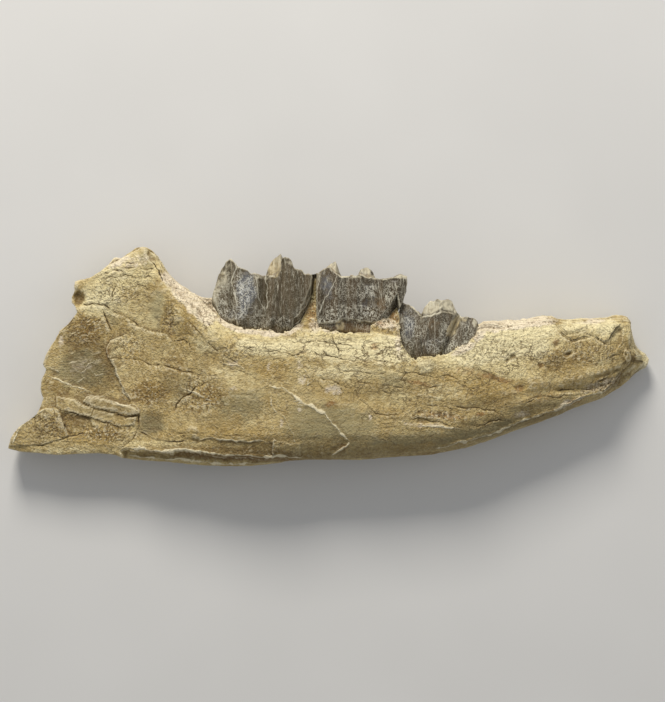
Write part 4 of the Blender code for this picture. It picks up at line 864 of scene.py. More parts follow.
teeth = {
    "molar_m3": {
        "edges": {
            "low": [(-28, -1), (-20, -1.6), (-12, -1)],
            "high": [(-34.5, 24.7), (-33.9, 26.3), (-32.9, 27.8), (-31.7, 29.2), (-30.7, 29.9), (-30, 29.7),
                     (-29.2, 28.8), (-28, 27.5), (-26.1, 26.4), (-24.2, 25.7), (-22.4, 25.3),
                     (-20.5, 24.9), (-18.6, 24.6), (-16.8, 24.9), (-15.5, 26.9), (-14.8, 30),
                     (-14.3, 30.6), (-13.7, 30.7), (-12.7, 30.3), (-11.8, 29.2), (-11.2, 27.7),
                     (-10.2, 26.8), (-8.4, 26.1), (-6.5, 25.3), (-5, 25.4), (-3.75, 25.6)],
            "back": [(-28, -1), (-33, 8), (-36.2, 14), (-36.5, 16.6), (-36.2, 17.9), (-35.9, 19.8),
                     (-35.4, 21.3), (-34.9, 23.2), (-34.5, 24.7)],
            "front": [(-12, -1), (-10.4, 6), (-9.2, 9), (-7.9, 11.5), (-6, 14.5), (-4.7, 17.6),
                      (-4.02, 20), (-3.85, 22), (-3.75, 25.6)],
        },
        "innerCrest": [(-34.5, 21), (-28, 23), (-21.1, 23.2), (-19.9, 25), (-19.4, 27.2), (-18.6, 29.2),
                       (-17.7, 30.4), (-16.3, 31.3), (-15.4, 31.9), (-14.8, 30.8), (-14.3, 28.8),
                       (-13.4, 26.3), (-12.1, 23.2), (-4, 21)],
        "middle": 12.8,
        # Swells and grooves of the outer wall: x, y where that x holds, lean, half width, height
        "swells": [(-25.2, 18, 0, 4.6, 1.0), (-12, 18, 0, 6.5, 1.5), (-20.6, 18, 0.05, 1.3, -1.5),
                   (-29.4, 20, -0.1, 0.9, 0.5), (-14.6, 27, 0.1, 0.6, -0.5), (-33.5, 20, -0.2, 3, -0.8)],
        "insets": [],
        "patches": {
            "pale": [(-33.2, 23, 2.6, 6, -14, 0.42), (-35.4, 17.4, 1.4, 3.4, 0, 0.35),
                     (-11.5, 29.2, 2.2, 1.2, 0, 0.4), (-20.5, 24.2, 3, 1, 0, 0.4)],
            "blue": [(-25.6, 20.5, 3.2, 6, 0, 0.8), (-28, 13.5, 5, 2.4, 0, 0.4)],
            "tan": [(-17.6, 28, 2.5, 4, 10, 1), (-33.5, 25, 1, 2, -14, 0.3)],
            "speck": [(-25.8, 20, 3.8, 7.6, 0, 1), (-29, 12.8, 7, 3.6, 0, 1),
                      (-21, 12, 3.4, 3.4, 0, 0.8), (-14, 11, 6, 2.6, 0, 0.7),
                      (-7.6, 15.5, 1.8, 5, -35, 0.6), (-33, 19, 3, 7, -10, 0.8)],
            "neck": [],
        },
        "whiteLines": [
            # Half width, path
            (0.2, [(-22.2, 25.2), (-22.1, 21.3), (-22, 17.9), (-21.1, 15.7), (-19.9, 14)]),
            (0.18, [(-19.5, 25.2), (-19.1, 22.5), (-18.8, 20.4), (-19.1, 17), (-19.9, 14)]),
            (0.2, [(-29.8, 29.4), (-29, 26.9), (-29.7, 25), (-30.3, 22.9), (-29.3, 20.7), (-28.7, 18.2),
                   (-28.6, 15.7)]),
            (0.2, [(-4.4, 19.8), (-6.5, 17.6), (-8.7, 14.5), (-10.2, 12.3), (-11.2, 11.4)]),
            (0.2, [(-5.4, 16.6), (-6.8, 14.2), (-7.8, 12.3), (-9.6, 10.1), (-11.2, 9.2)]),
            (0.16, [(-24.2, 24.7), (-26.6, 22.6), (-28, 20.9), (-29, 19.8)]),
            (0.14, [(-23.8, 23.3), (-25.4, 22.8), (-26.6, 21.6)]),
            (0.16, [(-25.5, 19.8), (-26.8, 18.6), (-27.6, 17.8)]),
            (0.16, [(-23.1, 15), (-24.8, 14.6), (-26.2, 13.9), (-28, 12.6)]),
            (0.12, [(-24.4, 17.5), (-25.2, 15.8), (-26.2, 13.9)]),
            (0.1, [(-14.6, 29.4), (-14.9, 26.3), (-15.8, 22.9), (-16.5, 20.7)]),
            (0.1, [(-31.7, 11.7), (-28, 12.3), (-23.6, 12.3), (-21.1, 12.9)]),
        ],
    },
    "molar_m2": {
        "edges": {
            "low": [(3, -2), (8.5, -2.6), (14, -2)],
            "high": [(-3.78, 25.3), (-2.8, 26.4), (-1.6, 27.4), (-0.6, 27.8), (0.3, 27.2), (1.2, 26),
                     (2.2, 25.1), (3.4, 24.7), (5.6, 24.7), (7.5, 25), (9.3, 25.1), (11.2, 24.7),
                     (13, 24.3), (14.9, 23.9), (16.1, 23.8), (17.7, 24), (19.6, 24.6), (21.7, 25.2),
                     (23.6, 24.8)],
            "back": [(3, -2), (-1, 3), (-4.6, 8.4), (-5.2, 12.5), (-4.68, 17), (-3.98, 20.7),
                     (-3.78, 25.3)],
            "front": [(14, -2), (15.4, 7), (18, 11), (20.7, 13.8), (22.4, 16.6), (23.1, 20.1),
                      (23.7, 22.5), (23.6, 24.8)],
        },
        "innerCrest": [(-3.7, 22.2), (-3.1, 25.8), (-1.2, 27.5), (0, 28.6), (0.9, 29.1), (1.7, 29.5),
                       (2.2, 28.3), (2.8, 26.7), (3.6, 25), (5, 22.4), (8.1, 23), (9, 26.3), (9.6, 27.2),
                       (10.7, 27.5), (11.7, 27.7), (12.7, 26.9), (13.7, 25.4), (14.8, 23.6), (15.8, 22),
                       (23.6, 21.9)],
        "middle": 12.8,
        "swells": [(3, 18, 0.1, 6.5, 1.4), (20.4, 18, 0.1, 4, 0.9), (12.2, 18, 0.1, 3.4, -1.3),
                   (-3.2, 18, 0.05, 0.8, -0.25)],
        # Depth, width of the edge, outline
        "insets": [(0.7, 0.35, [(-6, 3), (14, 3), (14, 10.5), (8, 10.9), (3, 10.4), (-6, 9.8)]),
                   (0.4, 0.3, [(2.2, 3), (3.6, 3), (3.8, 10), (2.6, 10)]),
                   (0.4, 0.25, [(7.2, 3), (7.8, 3), (7.8, 10), (7.2, 10)])],
        "patches": {
            "pale": [(1.4, 27.6, 1.5, 2.4, 20, 1), (11.8, 27, 2, 1.5, 0, 1),
                     (21.5, 24.9, 2.8, 0.9, 0, 0.9), (6.8, 24.4, 3.6, 0.7, 0, 0.5),
                     (16, 23.8, 3, 0.6, 0, 0.7), (-3.2, 24.5, 0.9, 2.2, 0, 0.4)],
            "blue": [(11.8, 17.4, 2.2, 7, -6, 0.3), (-1, 21.5, 2.2, 4.6, 10, 0.45)],
            "tan": [(3, 9.4, 1.4, 1.4, 0, 1), (13.4, 9.4, 1, 1.6, 0, 0.7), (7.5, 8.6, 0.3, 1.2, 0, 0.6)],
            "speck": [(11.4, 15.5, 3.4, 8, -6, 1), (3, 12.6, 8, 3, 0, 0.9),
                      (19.6, 18.6, 3.4, 4.6, 0, 0.7), (6, 19.5, 5, 4, 0, 0.35),
                      (-2, 12, 3, 2.6, 0, 0.9), (17, 12.6, 3.5, 2, 20, 0.8)],
            "neck": [(8, 9, 5.6, 1.9, 0, 1), (-1, 9, 3.6, 1.6, 0, 0.5), (15.6, 16.4, 2, 2.6, 10, 0.45),
                     (10.1, 26.6, 0.9, 0.8, 0, 0.9)],
        },
        "whiteLines": [
            (0.18, [(-3.4, 25.3), (-3.2, 22.9), (-3.5, 21), (-4.2, 17.1), (-3.3, 14.5)]),
            (0.18, [(2.2, 24.9), (0.3, 21), (-1.6, 17.3), (-3.4, 12.6)]),
            (0.09, [(3.1, 23.5), (3.4, 20.7), (3, 18.2)]),
            (0.09, [(9.6, 25), (9.5, 22.9), (10.6, 21.9)]),
            (0.12, [(14.9, 23.5), (15.8, 20.1), (16.1, 17), (17.1, 13.9)]),
            (0.12, [(18.3, 20.4), (19.6, 17.9), (21.1, 16)]),
            (0.09, [(12.5, 19.5), (14, 18.6), (15.6, 18)]),
            (0.12, [(-3, 10), (0.6, 11), (4, 11.2), (8, 11.4), (11.5, 11.1), (14.4, 11.6)]),
        ],
    },
    "molar_m1": {
        "edges": {
            "low": [(28, -10), (33, -10.5), (38, -10)],
            "high": [(22.5, 16.6), (24.2, 15.8), (25.8, 14.9), (27, 13.9), (28.1, 12.8), (28.6, 14.2),
                     (29.2, 15.4), (30.3, 16.5), (31.4, 17.1), (32.5, 17.5), (34.2, 17.4), (36.3, 17.5),
                     (37.4, 17), (38.1, 15.7), (38.6, 14.5), (39.5, 13.2), (40.4, 12.2), (41.6, 12),
                     (42.9, 12), (44.4, 11.3), (45.3, 10.6)],
            "back": [(28, -10), (23.4, -2), (20.9, 3.6), (20.6, 8), (20.9, 12), (21.6, 14.8), (22.5, 16.6)],
            "front": [(38, -10), (42.4, 0), (45.7, 5.2), (46.2, 8), (45.3, 10.6)],
        },
        "innerCrest": [(22.5, 13), (28, 12), (31, 15), (37, 15), (39, 11.5), (45.3, 9)],
        "middle": 12.2,
        "swells": [(30, 8, 0, 6.5, 1.3), (43, 8, 0.2, 2.4, 0.6), (38.2, 9, 0.45, 1, -1.3),
                   (24.6, 9, 0, 1.2, -0.3)],
        "insets": [(1.2, 0.16, [(27.6, 12.7), (31.1, 12.9), (34, 12.9), (34.1, 15.4),
                                (34, 18.5), (27.6, 18.5)]),
                   (0.45, 0.2, [(34, 13.4), (37.8, 13.2), (38.6, 18.5), (34, 18.5)])],
        "patches": {
            "pale": [(31.1, 15.2, 3.4, 2.4, 0, 0.85), (36.4, 15.3, 2.4, 2.4, 0, 0.55),
                     (39.2, 14, 1.1, 2.4, 30, 1), (44.6, 10.4, 1, 1.4, 0, 0.6)],
            "blue": [(24.2, 9.8, 2.2, 5.6, 0, 0.45), (31, 4, 5, 2.4, 0, 0.25)],
            "tan": [(38, 9.2, 1, 3.8, -26, 1), (41.4, 11.4, 1.2, 0.7, 0, 0.5)],
            "speck": [(24.6, 8, 2.8, 6.2, 0, 1), (31, 6.6, 4.6, 5, 0, 0.55),
                      (41.4, 6.8, 3.6, 3.8, 0, 0.8), (35, 3, 7, 2.2, 0, 0.8), (35.6, 8, 1.6, 4, 0, 0.6)],
            "neck": [(31.5, 10, 3.6, 2.4, 0, 0.35)],
        },
        "whiteLines": [
            (0.14, [(31.1, 12.6), (30.4, 10.1), (29.2, 7.6), (28.3, 4.5)]),
            (0.14, [(32.1, 12.6), (32.3, 9.5), (32, 6.4), (31.7, 3.6)]),
            (0.1, [(29.8, 12), (29.3, 9.5)]),
            (0.24, [(28.2, 12.6), (31.1, 12.8), (33.9, 12.8), (34, 15.1), (33.9, 17.3)]),
            (0.24, [(37.6, 16.6), (38.5, 14.8), (39.8, 12.9), (40.7, 11.7)]),
            (0.12, [(21.9, 14), (22.4, 9), (23.4, 4.5)]),
            (0.1, [(41, 10.7), (40.1, 7.6), (39.1, 4.5)]),
            (0.1, [(42.9, 11.1), (42.2, 8), (41, 4.8)]),
            (0.1, [(44.1, 10.6), (43.6, 8), (42.6, 5.4)]),
        ],
    },
}

toothForm = {
    "cells": (120, 86, 30),
    "heightShares": [0.0, 0.28, 0.4, 0.62, 0.86, 1.0],
    "halfWidths": [3.2, 4.8, 6.1, 6.5, 6.1, 5.5],
    "endTaper": 0.1,
    "endPower": 3,
    "crownStart": (0.26, 0.46),
    "crestBlend": (0.62, 0.4),
    "crestFade": 4,
    "crestRagged": 0.42,
    "valleyDepth": 4.5,
    "valleyPlace": 0.5,
    "valleyHalfWidth": 0.13,
    "valleyEnds": 1.6,
    "swellGain": 1.25,
    "lipGap": 0.35,
    "lipRise": 0.9,
    "rootFall": 0.5,
    "striaeHeight": 0.04,
    "grainHeights": (0.08, 0.1),
    "chipDepth": 0.3,
    "hairlineHeight": 0.06,
    "bulgeHeight": 0.1,
}


def placeTooth(tooth, shares):
    form = toothForm
    u, v, w = shares.T
    x, y = pointInOutline(tooth["edges"], u, v).T
    high = pointByX(tooth["edges"]["high"], u)
    innerTop = np.interp(high[:, 0], *zip(*tooth["innerCrest"]))
    crest = (innerTop - high[:, 1]) * smoothStep(*form["crestBlend"], w)
    valley = form["valleyDepth"] * hump(w - form["valleyPlace"], form["valleyHalfWidth"])
    crest -= valley * np.clip(form["valleyEnds"] * (1 - np.abs(2 * u - 1)), 0, 1)
    ragged = form["crestRagged"] * softNoise(stretched(pointsFrom(x, 0, w), 1.1, 1, 0.35), 1, 95)
    y = y + v ** form["crestFade"] * (crest + ragged)

    side = 2 * w - 1
    halfWidth = np.interp(v, form["heightShares"], form["halfWidths"])
    halfWidth = halfWidth * (1 - form["endTaper"] * np.abs(2 * u - 1) ** form["endPower"])
    relief = np.zeros_like(x)
    for swellX, swellY, lean, width, height in tooth["swells"]:
        relief += form["swellGain"] * height * hump(x - swellX - lean * (y - swellY), width)
    wx, wy = wobble(x, y)
    for depth, edge, outline in tooth["insets"]:
        relief -= depth * smoothStep(-edge, edge, distanceInside(outline, wx, wy))
    relief *= smoothStep(*form["crownStart"], v) * np.maximum(side, 0)
    z = tooth["middle"] + side * halfWidth + relief

    # Below the edge of its socket the tooth stays under the face of the bone
    line = highLine(x)
    _, face = boneFaces(x, np.minimum(y, line))
    lip = face - form["lipGap"] + form["lipRise"] * np.maximum(y - line, 0)
    lip -= form["rootFall"] * np.clip(line - y, 0, 4)
    z = np.where(side > 0, np.minimum(z, lip), z)
    return np.stack((x, y, z), -1)


def toothGrain(points, v, line, strength, seed):
    # Heights of the upright striae, the grain, the hairlines and the chipped crest
    form = toothForm
    striae = form["striaeHeight"] * softNoise(stretched(points, 0.5, 7, 2), 1, seed)
    striae += form["striaeHeight"] * softNoise(stretched(points, 1.1, 9, 3), 1, seed + 1)
    fine, broad = form["grainHeights"]
    grain = fine * roughNoise(points, 1.8, seed + 2) + broad * roughNoise(points, 5, seed + 3, 2)
    chips = form["chipDepth"] * smoothStep(0.2, 0.7, softNoise(points, 1.3, seed + 7))
    chips = chips * smoothStep(0.9, 1, v)
    ridge = form["hairlineHeight"] * strength * hump(line, 0.25)
    return (striae + grain + ridge) * smoothStep(0.3, 0.45, v) - chips


def paintTooth(mesh, tooth, seed, shares, points, x, y, line, strength):
    # The worn top is brown between dark enamel edges; only the cusps seen from outside are pale there
    u, v, w = shares.T
    outside = smoothStep(0.55, 0.8, w)
    top = smoothStep(0.985, 1, v)
    cusps = smoothStep(0.2, 1.2, y - pointByX(tooth["edges"]["high"], u)[:, 1])
    chipped = 0.3 + 0.7 * smoothStep(-0.3, 0.4, softNoise(points, 2, seed + 11))
    wear = smoothStep(0.974, 0.992, v) * outside * 0.6 * chipped * (1 - top * smoothStep(0.97, 0.9, w))
    dentine = top * smoothStep(0.06, 0.16, w) * smoothStep(0.96, 0.88, w) * (1 - cusps)
    masks = {name: patchMask(patches, x, y) for name, patches in tooth["patches"].items()}
    facing = smoothStep(0.12, 0.3, w) * (1 - top * (1 - cusps))
    storeColours(mesh, "stains", (masks["pale"] * facing, masks["blue"] * outside, masks["tan"] * facing,
                                  masks["neck"] * outside))
    spotted = smoothStep(-0.55, 0.25, softNoise(stretched(points, 2.2, 3.4, 2), 1, seed + 9))
    cover = masks["speck"] * spotted * outside + 0.25 * (1 - outside)
    storeColours(mesh, "textures", (cover, wear, dentine, cusps * top))
    none = np.zeros_like(line)
    storeColours(mesh, "lines", (line, strength * outside, none, none))
    storeBulge(mesh, points, toothForm["bulgeHeight"])


def makeTooth(name, seed):
    tooth = teeth[name]
    shares, faces = boxLattice(toothForm["cells"])
    points = placeTooth(tooth, shares)
    mesh = bpy.data.meshes.new(name + "_surface")
    mesh.from_pydata(points.tolist(), [], faces.tolist())
    mesh.update()
    x, y = wobble(points[:, 0], points[:, 1])
    line, strength = lineFields(tooth["whiteLines"], x, y, 0.3)
    grain = toothGrain(points, shares[:, 1], line, strength, seed)
    points = insideBox(points + vertexNormals(mesh) * grain[:, None])
    writePoints(mesh, points)
    paintTooth(mesh, tooth, seed, shares, points, x, y, line, strength)
    writePoints(mesh, points * mm)
    mesh.shade_smooth()
    return newObject(name + "_fossil", mesh)


toothSeeds = {"molar_m3": 300, "molar_m2": 320, "molar_m1": 340}
molars = {name: makeTooth(name, seed) for name, seed in toothSeeds.items()}
print("teeth:", sum(len(molar.data.polygons) for molar in molars.values()), "faces")


# Materials

def addNode(tree, kind, inputs=None, **settings):
    node = tree.nodes.new(kind)
    for name, value in settings.items():
        setattr(node, name, value)
    for name, value in (inputs or {}).items():
        socket = node.inputs[name]
        if isinstance(value, bpy.types.NodeSocket):
            tree.links.new(value, socket)
        else:
            socket.default_value = value
    return node


def combine(tree, operation, first, second, third=None, clamp=False):
    inputs = {0: first, 1: second}
    if third is not None:
        inputs[2] = third
    return addNode(tree, "ShaderNodeMath", inputs, operation=operation, use_clamp=clamp).outputs[0]


def remap(tree, value, low, high, newLow=0.0, newHigh=1.0):
    inputs = {"Value": value, "From Min": low, "From Max": high, "To Min": newLow, "To Max": newHigh}
    return addNode(tree, "ShaderNodeMapRange", inputs, interpolation_type="SMOOTHSTEP").outputs[0]


def vectorMath(tree, operation, *vectors):
    return addNode(tree, "ShaderNodeVectorMath", dict(enumerate(vectors)), operation=operation).outputs[0]


def addNoise(tree, vector, scale, detail, roughness=0.5):
    inputs = {"Vector": vector, "Scale": scale, "Detail": detail, "Roughness": roughness}
    return addNode(tree, "ShaderNodeTexNoise", inputs).outputs


def mixColours(tree, share, first, second, blend="MIX"):
    inputs = {0: share, 6: first, 7: second}
    return addNode(tree, "ShaderNodeMix", inputs, data_type="RGBA", blend_type=blend).outputs[2]


def tint(tree, colour, mask, share, target):
    # Lays the target over the colour with a share of the mask
    return mixColours(tree, combine(tree, "MULTIPLY", mask, share), colour, target)


def newGroup(name, inputs, outputs):
    # A node group from lists of (name, default) and of output names; its inputs and output node
    tree = bpy.data.node_groups.new(name, "ShaderNodeTree")
    for socketName, default in inputs:
        kind = "NodeSocketVector" if default is None else "NodeSocketFloat"
        socket = tree.interface.new_socket(socketName, in_out="INPUT", socket_type=kind)
        if default is not None:
            socket.default_value = default
    for socketName in outputs:
        tree.interface.new_socket(socketName, in_out="OUTPUT", socket_type="NodeSocketFloat")
    start = tree.nodes.new("NodeGroupInput")
    end = tree.nodes.new("NodeGroupOutput")
    return tree, start.outputs, end.inputs


def makeFlecksGroup():
    # Spots of one size, above a threshold of soft noise
    inputs = [("Vector", None), ("Size", 1.0), ("Threshold", 0.55), ("Softness", 0.08)]
    tree, start, end = newGroup("flecks", inputs, ["Mask", "Value"])
    place = vectorMath(tree, "DIVIDE", start["Vector"], start["Size"])
    noise = addNoise(tree, place, 1.0, 2.0, 0.55)["Fac"]
    low = combine(tree, "SUBTRACT", start["Threshold"], start["Softness"])
    high = combine(tree, "ADD", start["Threshold"], start["Softness"])
    tree.links.new(remap(tree, noise, low, high), end["Mask"])
    tree.links.new(noise, end["Value"])
    return tree


def makeHairlineGroup():
    # A line where a signed distance crosses zero, and the stain beside it
    inputs = [("Vector", None), ("Distance", 0.0), ("Strength", 0.0), ("Width", 0.2)]
    tree, start, end = newGroup("hairline", inputs, ["Line", "Halo"])
    noise = addNoise(tree, start["Vector"], 1.6, 3.0)["Fac"]
    wander = combine(tree, "MULTIPLY_ADD", noise, 0.3, -0.15)
    away = combine(tree, "ADD", combine(tree, "ABSOLUTE", start["Distance"], 0.0), wander)
    width = combine(tree, "MULTIPLY", start["Width"], start["Strength"])
    line = remap(tree, away, width, combine(tree, "MULTIPLY", width, 0.2))
    tree.links.new(combine(tree, "MULTIPLY", line, start["Strength"], clamp=True), end["Line"])
    halo = remap(tree, away, combine(tree, "MULTIPLY", start["Width"], 5.0), start["Width"])
    tree.links.new(combine(tree, "MULTIPLY", halo, start["Strength"], clamp=True), end["Halo"])
    return tree


def makeCrazingGroup():
    # Net of fine cracks between cells of one size
    tree, start, end = newGroup("crazing", [("Vector", None), ("Cell", 3.0), ("Width", 0.15)], ["Line"])
    noise = addNoise(tree, start["Vector"], 0.7, 3.0)["Color"]
    shift = vectorMath(tree, "SUBTRACT", noise, (0.5, 0.5, 0.5))
    moved = vectorMath(tree, "MULTIPLY_ADD", shift, (2.0, 2.0, 2.0), start["Vector"])
    place = vectorMath(tree, "DIVIDE", moved, start["Cell"])
    cells = addNode(tree, "ShaderNodeTexVoronoi", {"Vector": place, "Scale": 1.0},
                    feature="DISTANCE_TO_EDGE")
    width = combine(tree, "DIVIDE", start["Width"], start["Cell"])
    line = remap(tree, cells.outputs["Distance"], width, combine(tree, "MULTIPLY", width, 0.3))
    tree.links.new(line, end["Line"])
    return tree


def makeRaggedGroup():
    # Gives a soft mask a ragged edge
    inputs = [("Vector", None), ("Mask", 0.0), ("Size", 2.0), ("Amount", 1.2)]
    tree, start, end = newGroup("raggedEdge", inputs, ["Mask"])
    place = vectorMath(tree, "DIVIDE", start["Vector"], start["Size"])
    shift = combine(tree, "SUBTRACT", addNoise(tree, place, 1.0, 4.0, 0.6)["Fac"], 0.5)
    value = combine(tree, "MULTIPLY_ADD", shift, start["Amount"], start["Mask"])
    tree.links.new(remap(tree, value, 0.15, 0.65), end["Mask"])
    return tree


def makeWormsGroup():
    # Short winding marks, where noise passes through its middle value
    tree, start, end = newGroup("wormMarks", [("Vector", None), ("Size", 1.2), ("Width", 0.05)], ["Mask"])
    place = vectorMath(tree, "DIVIDE", start["Vector"], start["Size"])
    noise = addNoise(tree, place, 1.0, 1.0)["Fac"]
    away = combine(tree, "ABSOLUTE", combine(tree, "SUBTRACT", noise, 0.5), 0.0)
    line = remap(tree, away, start["Width"], combine(tree, "MULTIPLY", start["Width"], 0.4))
    gaps = addNoise(tree, place, 1.7, 1.0)["Fac"]
    tree.links.new(combine(tree, "MULTIPLY", line, remap(tree, gaps, 0.44, 0.54)), end["Mask"])
    return tree


flecksGroup = makeFlecksGroup()
wormsGroup = makeWormsGroup()
hairlineGroup = makeHairlineGroup()
crazingGroup = makeCrazingGroup()
raggedGroup = makeRaggedGroup()


def useGroup(tree, group, inputs):
    return addNode(tree, "ShaderNodeGroup", inputs, node_tree=group).outputs


def flecks(tree, place, size, threshold, softness):
    inputs = {"Vector": place, "Size": size, "Threshold": threshold, "Softness": softness}
    return useGroup(tree, flecksGroup, inputs)


def wormMarks(tree, place, size, width):
    return useGroup(tree, wormsGroup, {"Vector": place, "Size": size, "Width": width})["Mask"]


def hairline(tree, place, away, strength, width):
    inputs = {"Vector": place, "Distance": away, "Strength": strength, "Width": width}
    return useGroup(tree, hairlineGroup, inputs)


def crazing(tree, place, cell, width):
    return useGroup(tree, crazingGroup, {"Vector": place, "Cell": cell, "Width": width})["Line"]


def raggedMask(tree, place, mask, size, amount):
    inputs = {"Vector": place, "Mask": mask, "Size": size, "Amount": amount}
    return useGroup(tree, raggedGroup, inputs)["Mask"]


def newMaterial(name):
    # The material with its tree, its surface and the place in millimetres
    material = bpy.data.materials.new(name)
    material.use_nodes = True
    tree = material.node_tree
    place = addNode(tree, "ShaderNodeTexCoord").outputs["Object"]
    inMm = addNode(tree, "ShaderNodeVectorMath", {0: place, "Scale": 1 / mm}, operation="SCALE")
    return material, tree, tree.nodes["Principled BSDF"], inMm.outputs[0]


def readStored(tree, name):
    return addNode(tree, "ShaderNodeAttribute", attribute_name=name, attribute_type="GEOMETRY").outputs


def readMasks(tree, name):
    # Red, green, blue and alpha of a stored colour as four masks
    stored = readStored(tree, name)
    parts = addNode(tree, "ShaderNodeSeparateColor", {"Color": stored["Color"]}).outputs
    return parts[0], parts[1], parts[2], stored["Alpha"]


def makePatterns(tree, place, look):
    # The stretched places of a look, and its patterns of flecks on them
    places = {"plain": place}
    for name, stretch in look["stretches"].items():
        places[name] = vectorMath(tree, "MULTIPLY", place, stretch)
    spots = {name: flecks(tree, places[where], *sizes) for name, (where, *sizes) in look["flecks"].items()}
    return places, spots


def layColours(tree, colour, place, masks, look):
    for name, size, amount, share in look["layers"]:
        colour = tint(tree, colour, raggedMask(tree, place, masks[name], size, amount), share, look[name])
    return colour


def addBump(tree, surface, height, parts, distance):
    # Adds parts of (value, amount) to a height and bumps the surface with it
    for value, amount in parts:
        height = combine(tree, "MULTIPLY_ADD", value, amount, height)
    bump = addNode(tree, "ShaderNodeBump", {"Height": height, "Distance": distance, "Strength": 1.0})
    tree.links.new(bump.outputs["Normal"], surface.inputs["Normal"])


boneLook = {
    "tan": (0.47, 0.345, 0.135, 1),
    "paleTan": (0.62, 0.50, 0.24, 1),
    "darkTan": (0.32, 0.215, 0.07, 1),
    "brown": (0.225, 0.14, 0.036, 1),
    "green": (0.33, 0.285, 0.148, 1),
    "gold": (0.50, 0.335, 0.095, 1),
    # The light and shade colours go on the light and shade patches: partly the bone's own tone, partly
    # painted light and painted shade
    "light": (0.90, 0.775, 0.42, 1),
    "shade": (0.56, 0.54, 0.50, 1),
    "cream": (0.90, 0.80, 0.48, 1),
    "pink": (0.86, 0.75, 0.58, 1),
    "rust": (0.34, 0.16, 0.045, 1),
    "pit": (0.16, 0.10, 0.036, 1),
    "crack": (0.05, 0.03, 0.012, 1),
    "paleLine": (0.86, 0.77, 0.53, 1),
    # Masks laid over each other in this order: size and amount of the ragged edge, share
    "layers": [("light", 2.2, 0.9, 0.75), ("gold", 2.6, 0.9, 0.5), ("brown", 1.7, 1.2, 0.75),
               ("green", 3.0, 1.2, 0.72), ("cream", 1.8, 1.2, 0.85), ("pink", 1.3, 1.2, 0.85),
               ("rust", 1.2, 1.2, 0.6)],
    "stretches": {"long": (0.16, 1.5, 0.8), "wide": (0.6, 1.0, 1.0)},
    # Stretch that the flecks lie on, size, threshold, softness
    "flecks": {"broad": ("plain", 6.0, 0.5, 0.22), "mottle": ("plain", 1.9, 0.54, 0.16),
               "streak": ("long", 1.0, 0.55, 0.1), "dots": ("plain", 0.6, 0.57, 0.05),
               "sparks": ("plain", 0.7, 0.58, 0.04), "breaks": ("plain", 3.0, 0.49, 0.06)},
    # Cell and width of the two nets of fine cracks
    "fineNet": (2.3, 0.12),
    "broadNet": (6.0, 0.14),
    "crackWidth": 0.2,
    "paleLineWidth": 0.4,
    "roughness": (0.66, 0.42),
    "specular": 0.35,
    "bumpDistance": 0.00038,
}


